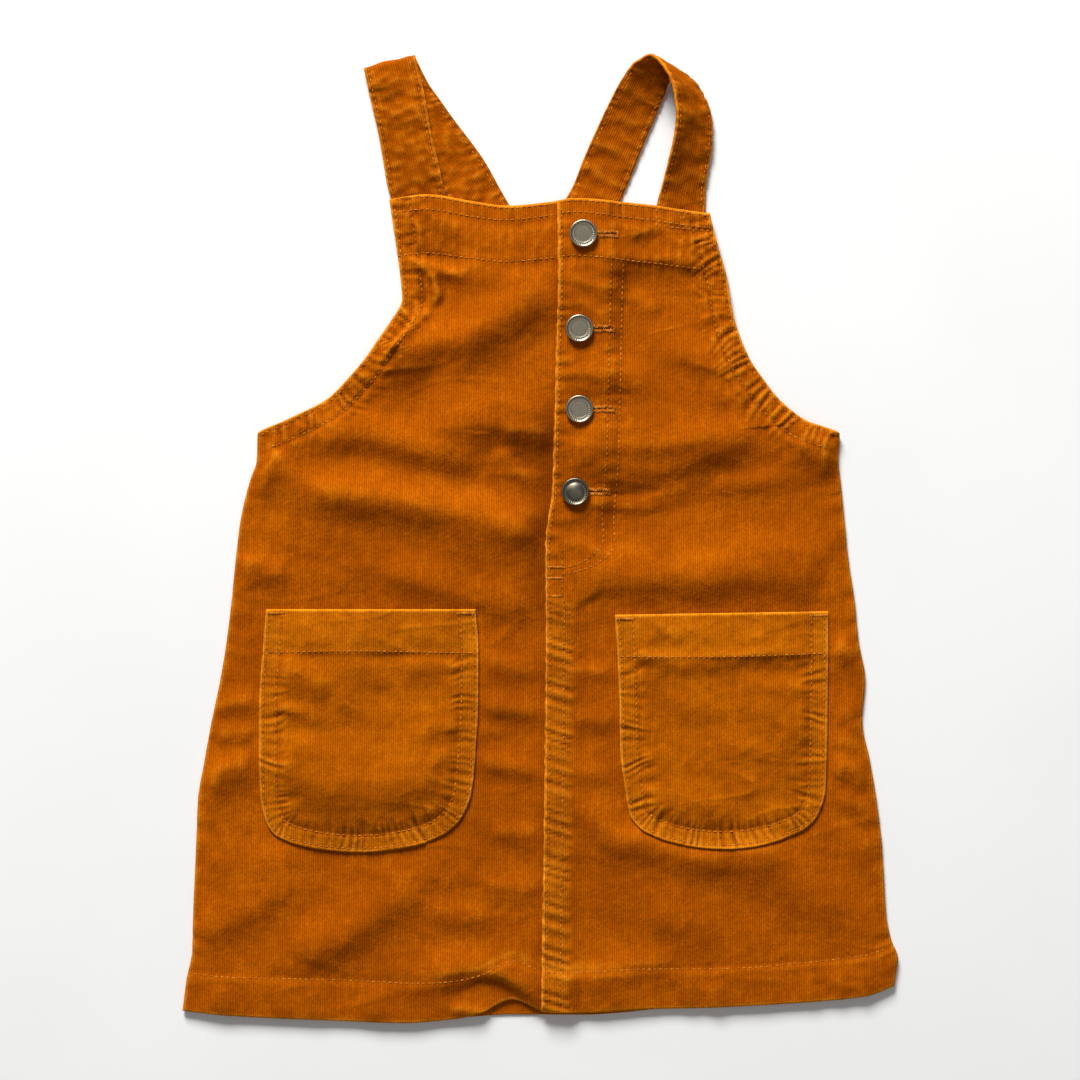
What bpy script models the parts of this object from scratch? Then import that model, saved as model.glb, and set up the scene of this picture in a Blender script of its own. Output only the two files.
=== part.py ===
"""A child's pinafore dress in fine corduroy, laid flat on its back with the front up.

Lengths in the tables are millimetres. X runs across the dress, Y from the hem towards the straps and
Z up from the surface that the dress lies on. The origin is under the middle of the whole outline.
"""

from collections import namedtuple

import bmesh
import bpy
import numpy as np

MM = 0.001

# Walls of cloth and the gaps between pieces
CLOTH = 1.3
TURNED_EDGE = 2.1
STRAP_WALL = 2.0
LAP_GAP = 0.55
POCKET_GAP = 0.5
BUTTON_GAP = 0.55

# Widths of the edges that are turned in and topstitched
BIB_TURNING = 31.0
ARMHOLE_TURNING = 11.0
HEM_TURNING = 21.0
PLACKET_TURNING = 34.0
SIDE_INSET = 0.6

# Panels: nominal hem and top, and the button stand of the lower front
HEM = -255.0
TOP = 180.0
UNDERARM = 56.0
STAND_WIDTH = 25.0
SEAM_LAP = 12.0
PLACKET_END = -32.0
LAP_SLOPE = 14.0
PUFF = 0.35

# Grids of the panels: cells across and cells up
FRONT_GRID = (14, 34)
BACK_GRID = (10, 24)
POCKET_GRID = (9, 13)
STRAP_ROWS = 46

# Buttons
BUTTON_RADIUS = 7.5
SHANK_RADIUS = 2.3
EYE_RADIUS = 3.0
SLIT_LENGTH = 14.0
SLIT_WIDTH = 1.0
BUTTON_STEPS = 20
CUT_HEIGHT = 30.0

Section = namedtuple("Section", "height left right")
Edge = namedtuple("Edge", "x front back")
Line = namedtuple("Line", "height x")
TopPoint = namedtuple("TopPoint", "x height")
Rest = namedtuple("Rest", "height middle side left right")
Fold = namedtuple("Fold", "x0 y0 x1 y1 width rise")
Station = namedtuple("Station", "left_x left_y left_z right_x right_y right_z")
Finish = namedtuple("Finish", "colour roughness metallic")

# Outline of the front, from the hem up
FRONT_SECTIONS = (
    Section(-255, -192.8, 191.0),
    Section(-238, -190.6, 193.0),
    Section(-222, -187.6, 189.5),
    Section(-206, -187.2, 187.0),
    Section(-163, -185.4, 184.2),
    Section(-141, -184.5, 181.5),
    Section(-120, -181.0, 178.0),
    Section(-98, -177.0, 173.8),
    Section(-76, -172.4, 175.4),
    Section(-55, -169.0, 171.8),
    Section(-33, -166.3, 169.6),
    Section(-12, -164.2, 166.4),
    Section(10, -161.5, 164.2),
    Section(32, -156.2, 162.0),
    Section(42, -152.8, 160.9),
    Section(UNDERARM, -152.3, 161.6),
    Section(64, -136.6, 142.6),
    Section(75, -115.0, 129.0),
    Section(86, -103.6, 120.3),
    Section(96, -95.0, 113.4),
    Section(107, -87.4, 108.5),
    Section(118, -79.9, 104.8),
    Section(129, -74.4, 102.6),
    Section(140, -75.2, 101.0),
    Section(161, -78.3, 95.8),
    Section(TOP, -81.2, 91.5),
)

# Outline of the back above the underarm: it ends below the crossing of the straps, behind the bib
BACK_TOP = 84.0
BACK_SECTIONS = (
    Section(UNDERARM, -150.5, 160.0),
    Section(64, -124.0, 130.0),
    Section(73, -92.0, 97.0),
    Section(BACK_TOP, -62.0, 66.0),
)

# Top edge of the bib, and the hems of front and back
BIB_EDGE = (
    TopPoint(-82, 182.4),
    TopPoint(-61, 185.3),
    TopPoint(-37, 181.7),
    TopPoint(-18, 179.2),
    TopPoint(9, 181.7),
    TopPoint(18, 183.0),
    TopPoint(44, 181.2),
    TopPoint(62, 179.3),
    TopPoint(78, 176.8),
    TopPoint(92, 175.0),
)
HEM_EDGE = (
    Edge(-193, -254.6, -252.8),
    Edge(-166, -257.3, -255.2),
    Edge(-115, -259.7, -257.8),
    Edge(-73, -261.0, -259.0),
    Edge(-46, -259.0, -258.4),
    Edge(-32, -255.8, -257.4),
    Edge(-15, -248.5, -256.8),
    Edge(3, -254.8, -257.2),
    Edge(22, -255.6, -257.0),
    Edge(53, -253.8, -255.6),
    Edge(86, -253.0, -251.6),
    Edge(140, -250.2, -248.6),
    Edge(175, -246.8, -245.0),
    Edge(193, -240.5, -239.0),
)

# Free edge of the upper front, from the hem up
CENTRE_EDGE = (
    Line(HEM, 0.6),
    Line(-44, 3.0),
    Line(-4, 2.8),
    Line(26, 6.4),
    Line(105, 8.7),
    Line(140, 9.7),
    Line(TOP, 9.2),
)

# Height of the front's underside where it rests on the back and the straps
RESTS = (
    Rest(HEM, 1.55, 1.55, -60, 60),
    Rest(44, 1.7, 1.55, -50, 54),
    Rest(53, 2.8, 1.55, -50, 54),
    Rest(61, 4.3, 1.55, -52, 56),
    Rest(88, 4.9, 1.55, -42, 44),
    Rest(100, 5.1, 1.2, -34, 36),
    Rest(129, 5.1, 0.8, -30, 32),
    Rest(150, 5.1, 1.6, -34, 36),
    Rest(158, 5.1, 2.4, -36, 38),
    Rest(169, 4.4, 3.0, -50, 60),
    Rest(177, 3.6, 3.4, -60, 70),
    Rest(190, 3.5, 3.6, -60, 70),
)
REST_SLOPE = 20.0

# Largest folds of the front, as low ridges from one point to another
FOLDS = (
    Fold(-70, 101, -14, 122, 13, 1.8),
    Fold(-125, 50, -50, 57, 12, 2.2),
    Fold(-125, 26, -8, 9, 13, 2.0),
    Fold(-40, 62, -14, 40, 10, 1.4),
    Fold(-128, -218, -62, -176, 13, 2.0),
    Fold(-160, -205, -128, -168, 12, 1.2),
    Fold(-168, -90, -152, -84, 7, 1.2),
    Fold(-24, -240, -14, -262, 12, 3.2),
    Fold(60, 104, 104, 89, 12, 1.8),
    Fold(36, 40, 112, 52, 13, 2.4),
    Fold(56, -16, 150, -18, 12, 2.2),
    Fold(124, -184, 166, -206, 13, 1.6),
    Fold(40, -176, 122, -174, 10, 1.2),
    Fold(158, -80, 172, -74, 8, 1.0),
)

POCKETS = {
    "pocket_left": (
        Section(-38, -147.5, -34.5),
        Section(-61, -149.4, -32.8),
        Section(-87, -151.2, -33.0),
        Section(-114, -151.2, -34.4),
        Section(-137, -150.8, -36.8),
        Section(-151, -148.2, -42.6),
        Section(-159, -143.6, -51.0),
        Section(-164, -134.0, -62.0),
    ),
    "pocket_right": (
        Section(-41, 40.2, 155.2),
        Section(-63, 41.6, 155.2),
        Section(-87, 42.6, 155.0),
        Section(-114, 43.2, 154.6),
        Section(-136, 45.8, 153.8),
        Section(-149, 48.4, 149.6),
        Section(-157, 55.0, 142.0),
        Section(-162, 66.0, 130.0),
    ),
}
POCKET_BAND = 24.0
POCKET_SAG = 5.0
POCKET_BELLY = 1.4

# Straps, from the end under the bib's corner, over the shoulder turn, to the end on the back
LEFT_STRAP_FRONT = (
    Station(-80.5, 167.0, 1.2, -49.0, 168.5, 1.2),
    Station(-81.0, 181.0, 1.3, -50.5, 183.5, 1.35),
    Station(-82.4, 190.5, 2.3, -52.4, 191.5, 3.4),
    Station(-84.0, 200.0, 3.0, -54.3, 201.0, 3.7),
    Station(-87.5, 220.0, 3.5, -58.6, 220.0, 3.8),
    Station(-91.5, 237.0, 3.7, -62.1, 239.0, 3.9),
    Station(-94.5, 251.0, 4.0, -66.7, 258.4, 4.0),
)
LEFT_STRAP_BACK = (
    Station(-94.5, 251.0, 1.2, -66.7, 258.4, 1.2),
    Station(-90.7, 242.2, 1.2, -61.0, 247.0, 1.2),
    Station(-82.0, 228.7, 1.2, -54.0, 236.8, 1.2),
    Station(-69.4, 209.4, 1.2, -45.6, 225.0, 1.2),
    Station(-54.8, 189.9, 1.2, -31.1, 205.5, 1.2),
    Station(-40.7, 165.3, 1.2, -17.0, 180.8, 1.2),
    Station(-26.5, 143.9, 1.2, -2.7, 159.6, 1.2),
    Station(-11.9, 121.2, 1.2, 11.9, 136.9, 1.2),
    Station(3.2, 98.0, 1.3, 27.0, 113.7, 1.2),
    Station(13.5, 82.4, 2.75, 37.3, 98.0, 2.6),
    Station(26.5, 62.9, 2.7, 50.2, 78.0, 2.7),
)
RIGHT_STRAP = (
    Station(60.5, 165.5, 1.15, 87.5, 163.3, 1.15),
    Station(62.7, 179.0, 1.6, 89.1, 176.9, 1.35),
    Station(65.9, 191.4, 5.5, 89.6, 191.4, 1.8),
    Station(69.1, 204.4, 11.0, 91.8, 204.4, 2.2),
    Station(71.8, 216.3, 15.5, 92.9, 216.3, 2.6),
    Station(72.6, 228.7, 18.0, 92.3, 228.2, 2.6),
    Station(70.7, 240.6, 18.5, 88.0, 239.5, 2.3),
    Station(65.9, 251.9, 17.5, 81.5, 247.6, 2.0),
    Station(58.3, 258.4, 15.5, 75.0, 250.6, 1.6),
    Station(50.8, 255.2, 12.5, 70.7, 247.6, 1.4),
    Station(44.3, 247.1, 9.5, 67.2, 239.0, 1.3),
    Station(37.3, 234.6, 6.0, 62.1, 227.1, 1.2),
    Station(30.8, 221.1, 3.5, 55.9, 212.5, 1.15),
    Station(23.8, 205.5, 2.0, 50.2, 197.9, 1.1),
    Station(17.8, 190.4, 1.3, 43.7, 182.8, 1.1),
    Station(9.5, 176.3, 1.9, 33.8, 162.3, 1.9),
    Station(1.6, 162.8, 3.5, 25.9, 148.8, 3.3),
    Station(-13.5, 135.8, 3.5, 11.3, 121.8, 3.5),
    Station(-26.5, 113.1, 3.5, -1.6, 99.1, 3.5),
    Station(-35.6, 96.9, 2.7, -10.8, 82.9, 2.75),
    Station(-46.4, 77.5, 2.65, -22.1, 63.5, 2.65),
)
FOLD_STEPS = 6

# Tack buttons, from the bib down
BUTTONS = (
    (23.2, 163.4),
    (21.1, 112.6),
    (21.1, 69.4),
    (18.9, 25.1),
)
# Half profile of a button: radius, and height above the upper front
BUTTON_PROFILE = (
    (0.0, 2.5),
    (5.4, 2.5),
    (5.9, 3.0),
    (6.9, 3.1),
    (7.5, 2.4),
    (7.2, 1.2),
    (5.8, 0.0),
    (SHANK_RADIUS, 0.0),
)

FINISHES = {
    "corduroy": Finish((0.40, 0.080, 0.003), 0.85, 0.0),
    "pocket_corduroy": Finish((0.42, 0.088, 0.003), 0.85, 0.0),
    "strap_corduroy": Finish((0.36, 0.070, 0.002), 0.85, 0.0),
    "silver_metal": Finish((0.42, 0.40, 0.36), 0.40, 1.0),
    "pewter_metal": Finish((0.16, 0.15, 0.13), 0.35, 1.0),
}


def eased(t):
    """0 below t = 0, 1 above t = 1, and a smooth rise between."""
    t = np.clip(t, 0.0, 1.0)
    return t * t * (3.0 - 2.0 * t)


def column(rows, name):
    return np.array([getattr(row, name) for row in rows], float)


def through(at, knots, values):
    """Monotone cubic through the knots, so that an outline never bulges between two sections."""
    step = np.diff(knots)
    slope = np.diff(values) / step
    product = slope[:-1] * slope[1:]
    total = np.where(product > 0, slope[:-1] + slope[1:], 1.0)
    tangent = np.concatenate([slope[:1], np.where(product > 0, 2 * product / total, 0.0), slope[-1:]])
    at = np.clip(at, knots[0], knots[-1])
    i = np.clip(np.searchsorted(knots, at) - 1, 0, len(step) - 1)
    t = (at - knots[i]) / step[i]
    rise = values[i + 1] - values[i]
    bend = t * (1 - t) * (tangent[i] * step[i] * (1 - t) - tangent[i + 1] * step[i] * t)
    return values[i] + rise * t * t * (3 - 2 * t) + bend


def table(rows, key, name, at):
    return through(at, column(rows, key), column(rows, name))


def height_of_rows(v):
    """Nominal heights spaced evenly along the side of the front, so that the armholes get enough rows."""
    heights = np.linspace(HEM, TOP, 400)
    left = np.gradient(table(FRONT_SECTIONS, "height", "left", heights), heights)
    right = np.gradient(table(FRONT_SECTIONS, "height", "right", heights), heights)
    pace = 1.0 + 0.4 * (np.abs(left) + np.abs(right))
    walked = np.concatenate([[0.0], np.cumsum((pace[1:] + pace[:-1]) / 2)])
    return np.interp(v * walked[-1], walked, heights)


def real_height(x, nominal, side):
    """Bends the nominal rows near the hem and the top to the hem's and the bib's own edges."""
    hem = table(HEM_EDGE, "x", side, x) - HEM
    bib = table(BIB_EDGE, "x", "height", x) - TOP
    near_hem = 1 - eased((nominal - HEM) / 60)
    near_top = eased((nominal - TOP + 50) / 50)
    return nominal + hem * near_hem + (bib * near_top if side == "front" else 0)


def centre_edge(height):
    return table(CENTRE_EDGE, "height", "x", height)


def stand_edge(height):
    """Hidden edge of the lower front: a button stand above the placket's end, a seam lap below it."""
    above = eased((height - PLACKET_END) / 12 + 0.5)
    return centre_edge(height) + SEAM_LAP + (STAND_WIDTH - SEAM_LAP) * above


def rest_height(x, y):
    """Height on which the front rests: highest over the crossed straps, low at the armholes."""
    middle = table(RESTS, "height", "middle", y)
    side = table(RESTS, "height", "side", y)
    left = table(RESTS, "height", "left", y)
    right = table(RESTS, "height", "right", y)
    over = eased((x - left) / REST_SLOPE + 1) * eased((right - x) / REST_SLOPE + 1)
    return side + (middle - side) * over


def relief(x, y):
    """The front's folds: ridges with a soft cross-section, calm along the outline and the centre."""
    total = np.full(np.shape(x), PUFF)
    for fold in FOLDS:
        run_x, run_y = fold.x1 - fold.x0, fold.y1 - fold.y0
        along = ((x - fold.x0) * run_x + (y - fold.y0) * run_y) / (run_x**2 + run_y**2)
        along = np.clip(along, 0, 1)
        off = np.hypot(x - fold.x0 - along * run_x, y - fold.y0 - along * run_y)
        total = total + fold.rise * np.exp(-((off / fold.width) ** 2))
    side = np.minimum(
        x - table(FRONT_SECTIONS, "height", "left", y), table(FRONT_SECTIONS, "height", "right", y) - x
    )
    near_centre = 1 - 0.6 * np.exp(-(((x - centre_edge(y) - 12) / 20) ** 2))
    return total * eased(side / 26) * near_centre * eased((TOP + 6 - y) / 30)


def wall(x, y, upper):
    """Thickness of a front: two layers where an edge is turned in."""
    left = x - table(FRONT_SECTIONS, "height", "left", y)
    right = table(FRONT_SECTIONS, "height", "right", y) - x
    bib = eased((y - TOP + BIB_TURNING) / 6 + 0.5)
    hem = eased((HEM + HEM_TURNING - y) / 6 + 0.5)
    steep = 1 + 1.2 * np.exp(-(((y - 68) / 14) ** 2))
    reach = ARMHOLE_TURNING * steep
    armhole = eased((reach - np.minimum(left, right)) / 5 + 0.5) * eased((y - UNDERARM + 10) / 5)
    turned = np.maximum.reduce([bib, hem, armhole])
    if upper:
        placket = eased((centre_edge(y) + PLACKET_TURNING - x) / 5 + 0.5) * eased((y - 5) / 14)
        turned = np.maximum(turned, placket)
    return CLOTH + (TURNED_EDGE - CLOTH) * turned


def under_lower(x, y):
    return rest_height(x, y) + relief(x, y)


def under_upper(x, y):
    """Underside of the upper front: it steps over the lower one and comes down beside it."""
    on_lower = 1 - eased((x - stand_edge(y) - 2) / LAP_SLOPE)
    return under_lower(x, y) + (wall(x, y, False) + LAP_GAP) * on_lower


def front_top(x, y):
    """Upper side of whichever front shows at a point."""
    upper = x > centre_edge(y)
    under = np.where(upper, under_upper(x, y), under_lower(x, y))
    return under + np.where(upper, wall(x, y, True), wall(x, y, False))


def material(name):
    """A Principled material with one of the finishes."""
    if name in bpy.data.materials:
        return bpy.data.materials[name]
    made = bpy.data.materials.new(name)
    made.use_nodes = True
    shader = made.node_tree.nodes["Principled BSDF"]
    finish = FINISHES[name]
    shader.inputs["Base Color"].default_value = (*finish.colour, 1.0)
    shader.inputs["Roughness"].default_value = finish.roughness
    shader.inputs["Metallic"].default_value = finish.metallic
    return made


def own_material(obj, finish):
    """Gives an object its own copy of a finish."""
    copy = material(finish).copy()
    copy.name = obj.name
    obj.data.materials.append(copy)


def grid_mesh(name, cells, place):
    """A grid of cells (across, up) whose points place(u, v) gives, with u and v from 0 to 1."""
    bm = bmesh.new()
    bmesh.ops.create_grid(bm, x_segments=cells[0], y_segments=cells[1], size=1.0)
    mesh = bpy.data.meshes.new(name)
    bm.to_mesh(mesh)
    bm.free()
    flat = np.empty(len(mesh.vertices) * 3)
    mesh.vertices.foreach_get("co", flat)
    u, v = (flat.reshape(-1, 3)[:, :2].T + 1) / 2
    points = place(u, v)
    mesh.vertices.foreach_set("co", (points * MM).ravel())
    mesh.update()
    return mesh, points


def cloth(name, cells, place, finish, thickness, offset=1.0, collection=None):
    """An open sheet with a wall: thickness is one number, or a function of the sheet's points."""
    mesh, points = grid_mesh(name, cells, place)
    obj = bpy.data.objects.new(name, mesh)
    collection.objects.link(obj)
    own_material(obj, finish)
    solid = obj.modifiers.new("wall", "SOLIDIFY")
    solid.offset = offset
    solid.use_rim = True
    if callable(thickness):
        walls = thickness(points[:, 0], points[:, 1])
        group = obj.vertex_groups.new(name="wall")
        for index, value in enumerate(walls / TURNED_EDGE):
            group.add([index], float(value), "REPLACE")
        solid.vertex_group = group.name
        solid.thickness = TURNED_EDGE * MM
    else:
        solid.thickness = thickness * MM
    mesh.shade_smooth()
    return obj


def front_panel(name, upper, collection):
    """One front, between its side and the centre, thickened upwards from its underside."""

    def place(u, v):
        height = height_of_rows(v)
        left = table(FRONT_SECTIONS, "height", "left", height)
        right = table(FRONT_SECTIONS, "height", "right", height)
        low, high = (centre_edge(height), right) if upper else (left, stand_edge(height))
        x = low + (high - low) * u
        y = real_height(x, height, "front")
        z = under_upper(x, height) if upper else under_lower(x, height)
        return np.column_stack([x, y, z])

    def thickness(x, y):
        return wall(x, y, upper)

    return cloth(name, FRONT_GRID, place, "corduroy", thickness, collection=collection)


def back_panel(collection):
    """The back, flat on the surface, a little inside the front's outline."""
    lower = [s for s in FRONT_SECTIONS if s.height < UNDERARM]
    sections = [Section(s.height, s.left + SIDE_INSET, s.right - SIDE_INSET) for s in lower]
    sections.extend(BACK_SECTIONS)

    def place(u, v):
        height = height_of_rows(v * V_BACK_TOP)
        left = table(sections, "height", "left", height)
        right = table(sections, "height", "right", height)
        x = left + (right - left) * u
        return np.column_stack([x, real_height(x, height, "back"), np.zeros_like(x)])

    return cloth("back_panel", BACK_GRID, place, "corduroy", CLOTH - 0.1, collection=collection)


def pocket(name, sections, collection):
    """A patch pocket on its front: a thicker band along the mouth, and a round, full foot."""
    top, bottom = sections[0].height, sections[-1].height
    rows = sections[::-1]

    def place(u, v):
        height = bottom + (top - bottom) * v**1.35
        left = table(rows, "height", "left", height)
        right = table(rows, "height", "right", height)
        x = left + (right - left) * u
        foot = (1 - eased((height - bottom) / 22)) * (1 - (2 * u - 1) ** 2)
        y = height - POCKET_SAG * foot
        full = np.sin(np.pi * u) * np.sin(np.pi * np.clip(v, 0, 1)) ** 0.7
        z = front_top(x, y) + POCKET_GAP + POCKET_BELLY * full
        return np.column_stack([x, y, z])

    def thickness(x, y):
        return CLOTH + (TURNED_EDGE - CLOTH) * eased((y - top + POCKET_BAND) / 4 + 0.5)

    return cloth(name, POCKET_GRID, place, "pocket_corduroy", thickness, collection=collection)


def crisp_fold(before, after):
    """Rows round a pressed fold: a half circle about the line where the strap turns over."""
    left = np.array(before[:3])
    right = np.array(before[3:])
    line = (right - left) / np.linalg.norm(right - left)
    out = np.array([-line[1], line[0], 0.0])
    radius_left = (before.left_z - after.left_z) / 2
    radius_right = (before.right_z - after.right_z) / 2
    rows = []
    for angle in np.pi * np.arange(1, FOLD_STEPS) / FOLD_STEPS:
        drop = 1 - np.cos(angle)
        moved_left = left + out * radius_left * np.sin(angle) - [0, 0, radius_left * drop]
        moved_right = right + out * radius_right * np.sin(angle) - [0, 0, radius_right * drop]
        rows.append(Station(*moved_left, *moved_right))
    return rows


def smooth_rows(stations, count):
    """Rows of a ribbon: cubic curves along both edges, whose tangents come from the neighbouring stations."""
    knots = np.array(stations, float)
    middle = (knots[:, :3] + knots[:, 3:]) / 2
    walked = np.concatenate([[0.0], np.cumsum(np.linalg.norm(np.diff(middle, axis=0), axis=1))])
    tangent = np.gradient(knots, walked, axis=0)
    at = np.linspace(0, walked[-1], count)
    i = np.clip(np.searchsorted(walked, at) - 1, 0, len(knots) - 2)
    step = (walked[i + 1] - walked[i])[:, None]
    t = (at[:, None] - walked[i][:, None]) / step
    rise = knots[i + 1] - knots[i]
    bend = t * (1 - t) * ((tangent[i] * step - rise) * (1 - t) - (tangent[i + 1] * step - rise) * t)
    return knots[i] + rise * t + bend


def strap(name, rows, collection):
    """A ribbon through rows of (left x, y, z, right x, y, z), with its wall on both sides of them."""
    rows = np.array(rows, float)

    def place(u, v):
        index = np.rint(v * (len(rows) - 1)).astype(int)
        left, right = rows[index, :3], rows[index, 3:]
        return left + (right - left) * u[:, None]

    return cloth(name, (2, len(rows) - 1), place, "strap_corduroy", STRAP_WALL, 0.0, collection)


def button(name, x, y, finish, collection):
    """A tack button turned from one profile: a dished cap with a raised rim on a short shank."""
    spot = (np.array(x), np.array(y))
    base = float(under_upper(*spot) + wall(*spot, True)) + BUTTON_GAP
    foot = float(under_lower(*spot) + wall(*spot, False)) + BUTTON_GAP
    profile = [*BUTTON_PROFILE, (SHANK_RADIUS, foot - base), (0.0, foot - base)]
    mesh = bpy.data.meshes.new(name)
    points = [(radius * MM, 0.0, height * MM) for radius, height in profile]
    edges = [(i, i + 1) for i in range(len(points) - 1)]
    mesh.from_pydata(points, edges, [])
    obj = bpy.data.objects.new(name, mesh)
    collection.objects.link(obj)
    obj.location = (x * MM, y * MM, base * MM)
    turn = obj.modifiers.new("turned", "SCREW")
    turn.steps = turn.render_steps = BUTTON_STEPS
    turn.use_merge_vertices = True
    turn.merge_threshold = 0.0001
    turn.use_smooth_shade = True
    own_material(obj, finish)
    return obj


def cutter(name, shapes, collection):
    """A hidden body of separate shapes, each made by its own function on one bmesh."""
    bm = bmesh.new()
    for shape in shapes:
        shape(bm)
    mesh = bpy.data.meshes.new(name)
    bm.to_mesh(mesh)
    bm.free()
    obj = bpy.data.objects.new(name, mesh)
    collection.objects.link(obj)
    obj.hide_render = True
    obj.display_type = "WIRE"
    return obj


def eye(x, y):
    def shape(bm):
        made = bmesh.ops.create_cone(
            bm,
            cap_ends=True,
            segments=12,
            radius1=EYE_RADIUS * MM,
            radius2=EYE_RADIUS * MM,
            depth=CUT_HEIGHT * MM,
        )
        bmesh.ops.translate(bm, verts=made["verts"], vec=(x * MM, y * MM, 0))

    return shape


def slit(x, y):
    def shape(bm):
        made = bmesh.ops.create_cube(bm, size=1.0)
        size = (SLIT_LENGTH * MM, SLIT_WIDTH * MM, CUT_HEIGHT * MM)
        bmesh.ops.scale(bm, verts=made["verts"], vec=size)
        bmesh.ops.translate(bm, verts=made["verts"], vec=((x + SLIT_LENGTH / 2) * MM, y * MM, 0))

    return shape


def cut_buttonholes(panel, cutters):
    """Keyhole buttonholes: a round eye for the shank and a slit beside it."""
    for name, form in (("eyes", eye), ("slits", slit)):
        body = cutter(f"buttonhole_{name}", [form(x, y) for x, y in BUTTONS], cutters)
        cut = panel.modifiers.new(name, "BOOLEAN")
        cut.operation = "DIFFERENCE"
        cut.solver = "EXACT"
        cut.object = body


def row_share(height):
    """The share v of the front's rows that reaches a nominal height."""
    shares = np.linspace(0, 1, 2000)
    return float(np.interp(height, height_of_rows(shares), shares))


V_BACK_TOP = row_share(BACK_TOP)


def clear_scene():
    for obj in list(bpy.data.objects):
        bpy.data.objects.remove(obj, do_unlink=True)


def new_collection(name):
    made = bpy.data.collections.new(name)
    bpy.context.scene.collection.children.link(made)
    return made


def main():
    clear_scene()
    dress = new_collection("Pinafore dress")
    cutters = new_collection("Cutters")
    cutters.hide_render = True

    back_panel(dress)
    front_panel("front_left", False, dress)
    upper = front_panel("front_right", True, dress)
    cut_buttonholes(upper, cutters)
    for name, sections in POCKETS.items():
        pocket(name, sections, dress)

    fold = crisp_fold(LEFT_STRAP_FRONT[-1], LEFT_STRAP_BACK[0])
    front_rows = smooth_rows(LEFT_STRAP_FRONT, STRAP_ROWS // 3)
    back_rows = smooth_rows(LEFT_STRAP_BACK, STRAP_ROWS // 2)
    strap("strap_left", [*front_rows, *fold, *back_rows], dress)
    strap("strap_right", smooth_rows(RIGHT_STRAP, STRAP_ROWS), dress)

    for index, (x, y) in enumerate(BUTTONS, 1):
        last = index == len(BUTTONS)
        button(f"button_{index}", x, y, "pewter_metal" if last else "silver_metal", dress)

    root = bpy.data.objects.new("dress_frame", None)
    dress.objects.link(root)
    for obj in dress.objects:
        if obj != root:
            obj.parent = root
    for finish in FINISHES:
        bpy.data.materials.remove(bpy.data.materials[finish])


main()
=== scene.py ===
"""The looks of a child's corduroy pinafore dress that lies flat with its front up.

Tables are in millimetres in the frame's own axes: X across, Y from the hem towards the straps, Z up.
"""

from __future__ import annotations

import logging
from dataclasses import dataclass, field
from enum import Enum
from typing import NamedTuple, Sequence

import bpy
import numpy as np
from numpy.typing import NDArray
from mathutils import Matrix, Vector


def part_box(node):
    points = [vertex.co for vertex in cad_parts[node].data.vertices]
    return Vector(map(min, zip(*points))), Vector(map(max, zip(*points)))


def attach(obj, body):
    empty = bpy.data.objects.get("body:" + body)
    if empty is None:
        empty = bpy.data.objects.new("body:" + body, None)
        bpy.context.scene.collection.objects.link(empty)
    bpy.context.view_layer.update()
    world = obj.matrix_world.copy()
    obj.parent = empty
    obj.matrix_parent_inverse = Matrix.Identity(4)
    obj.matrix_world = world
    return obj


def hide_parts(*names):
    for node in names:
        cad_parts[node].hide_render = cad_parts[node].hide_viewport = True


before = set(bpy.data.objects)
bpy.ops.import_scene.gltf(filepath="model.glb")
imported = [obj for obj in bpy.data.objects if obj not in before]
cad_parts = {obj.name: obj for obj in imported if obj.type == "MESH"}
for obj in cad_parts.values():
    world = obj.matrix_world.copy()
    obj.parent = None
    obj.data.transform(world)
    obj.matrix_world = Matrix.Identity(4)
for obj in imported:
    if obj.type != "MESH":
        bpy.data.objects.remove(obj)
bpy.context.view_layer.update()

Array = NDArray[np.float64]
Nodes = bpy.types.NodeTree
Socket = bpy.types.NodeSocket
log = logging.getLogger("pinafore")

MM = 0.001
BODY = "root"
THINNEST = 0.1


class Side(Enum):
    """The viewer's side of the dress."""

    LEFT = -1
    RIGHT = 1


class Section(NamedTuple):
    """Outline of a panel at one height."""

    height: float
    left: float
    right: float


class Knot(NamedTuple):
    """A value at a place, for curves of one variable."""

    at: float
    value: float


class Crease(NamedTuple):
    """A ridge along plan points, or a hollow where rise is below 0, soft on either side of its run."""

    points: tuple[tuple[float, float], ...]
    rise: float
    upper: float
    lower: float


class Station(NamedTuple):
    """Both edges of a strap at one place along it."""

    left_x: float
    left_y: float
    left_z: float
    right_x: float
    right_y: float
    right_z: float


# ---------------------------------------------------------------- shapes of one or two variables


def eased(t: Array | float) -> Array:
    """0 below t = 0, 1 above t = 1, and the cubic 3t^2 - 2t^3 between.

    Args:
        t: any array or number.

    Returns:
        The eased values.
    """
    t = np.clip(t, 0.0, 1.0)
    return t * t * (3.0 - 2.0 * t)


def monotone(at: Array, knots: Array, values: Array) -> Array:
    """Monotone cubic through knots: harmonic-mean slopes, so a curve never swings past its knots.

    Args:
        at: where to read the curve.
        knots: rising places.
        values: the curve's values there.

    Returns:
        The curve at each place.
    """
    step = np.diff(knots)
    slope = np.diff(values) / step
    product = slope[:-1] * slope[1:]
    total = np.where(product > 0, slope[:-1] + slope[1:], 1.0)
    inner = np.where(product > 0, 2 * product / total, 0.0)
    tangent = np.concatenate([slope[:1], inner, slope[-1:]])
    at = np.clip(at, knots[0], knots[-1])
    i = np.clip(np.searchsorted(knots, at) - 1, 0, len(step) - 1)
    t = (at - knots[i]) / step[i]
    rise = values[i + 1] - values[i]
    bend = t * (1 - t) * (tangent[i] * step[i] * (1 - t) - tangent[i + 1] * step[i] * t)
    return values[i] + rise * t * t * (3 - 2 * t) + bend


def curve(knots: Sequence[Knot], at: Array) -> Array:
    """The monotone curve through a table of knots."""
    table = np.array(knots, float)
    return monotone(np.asarray(at, float), table[:, 0], table[:, 1])


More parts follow.
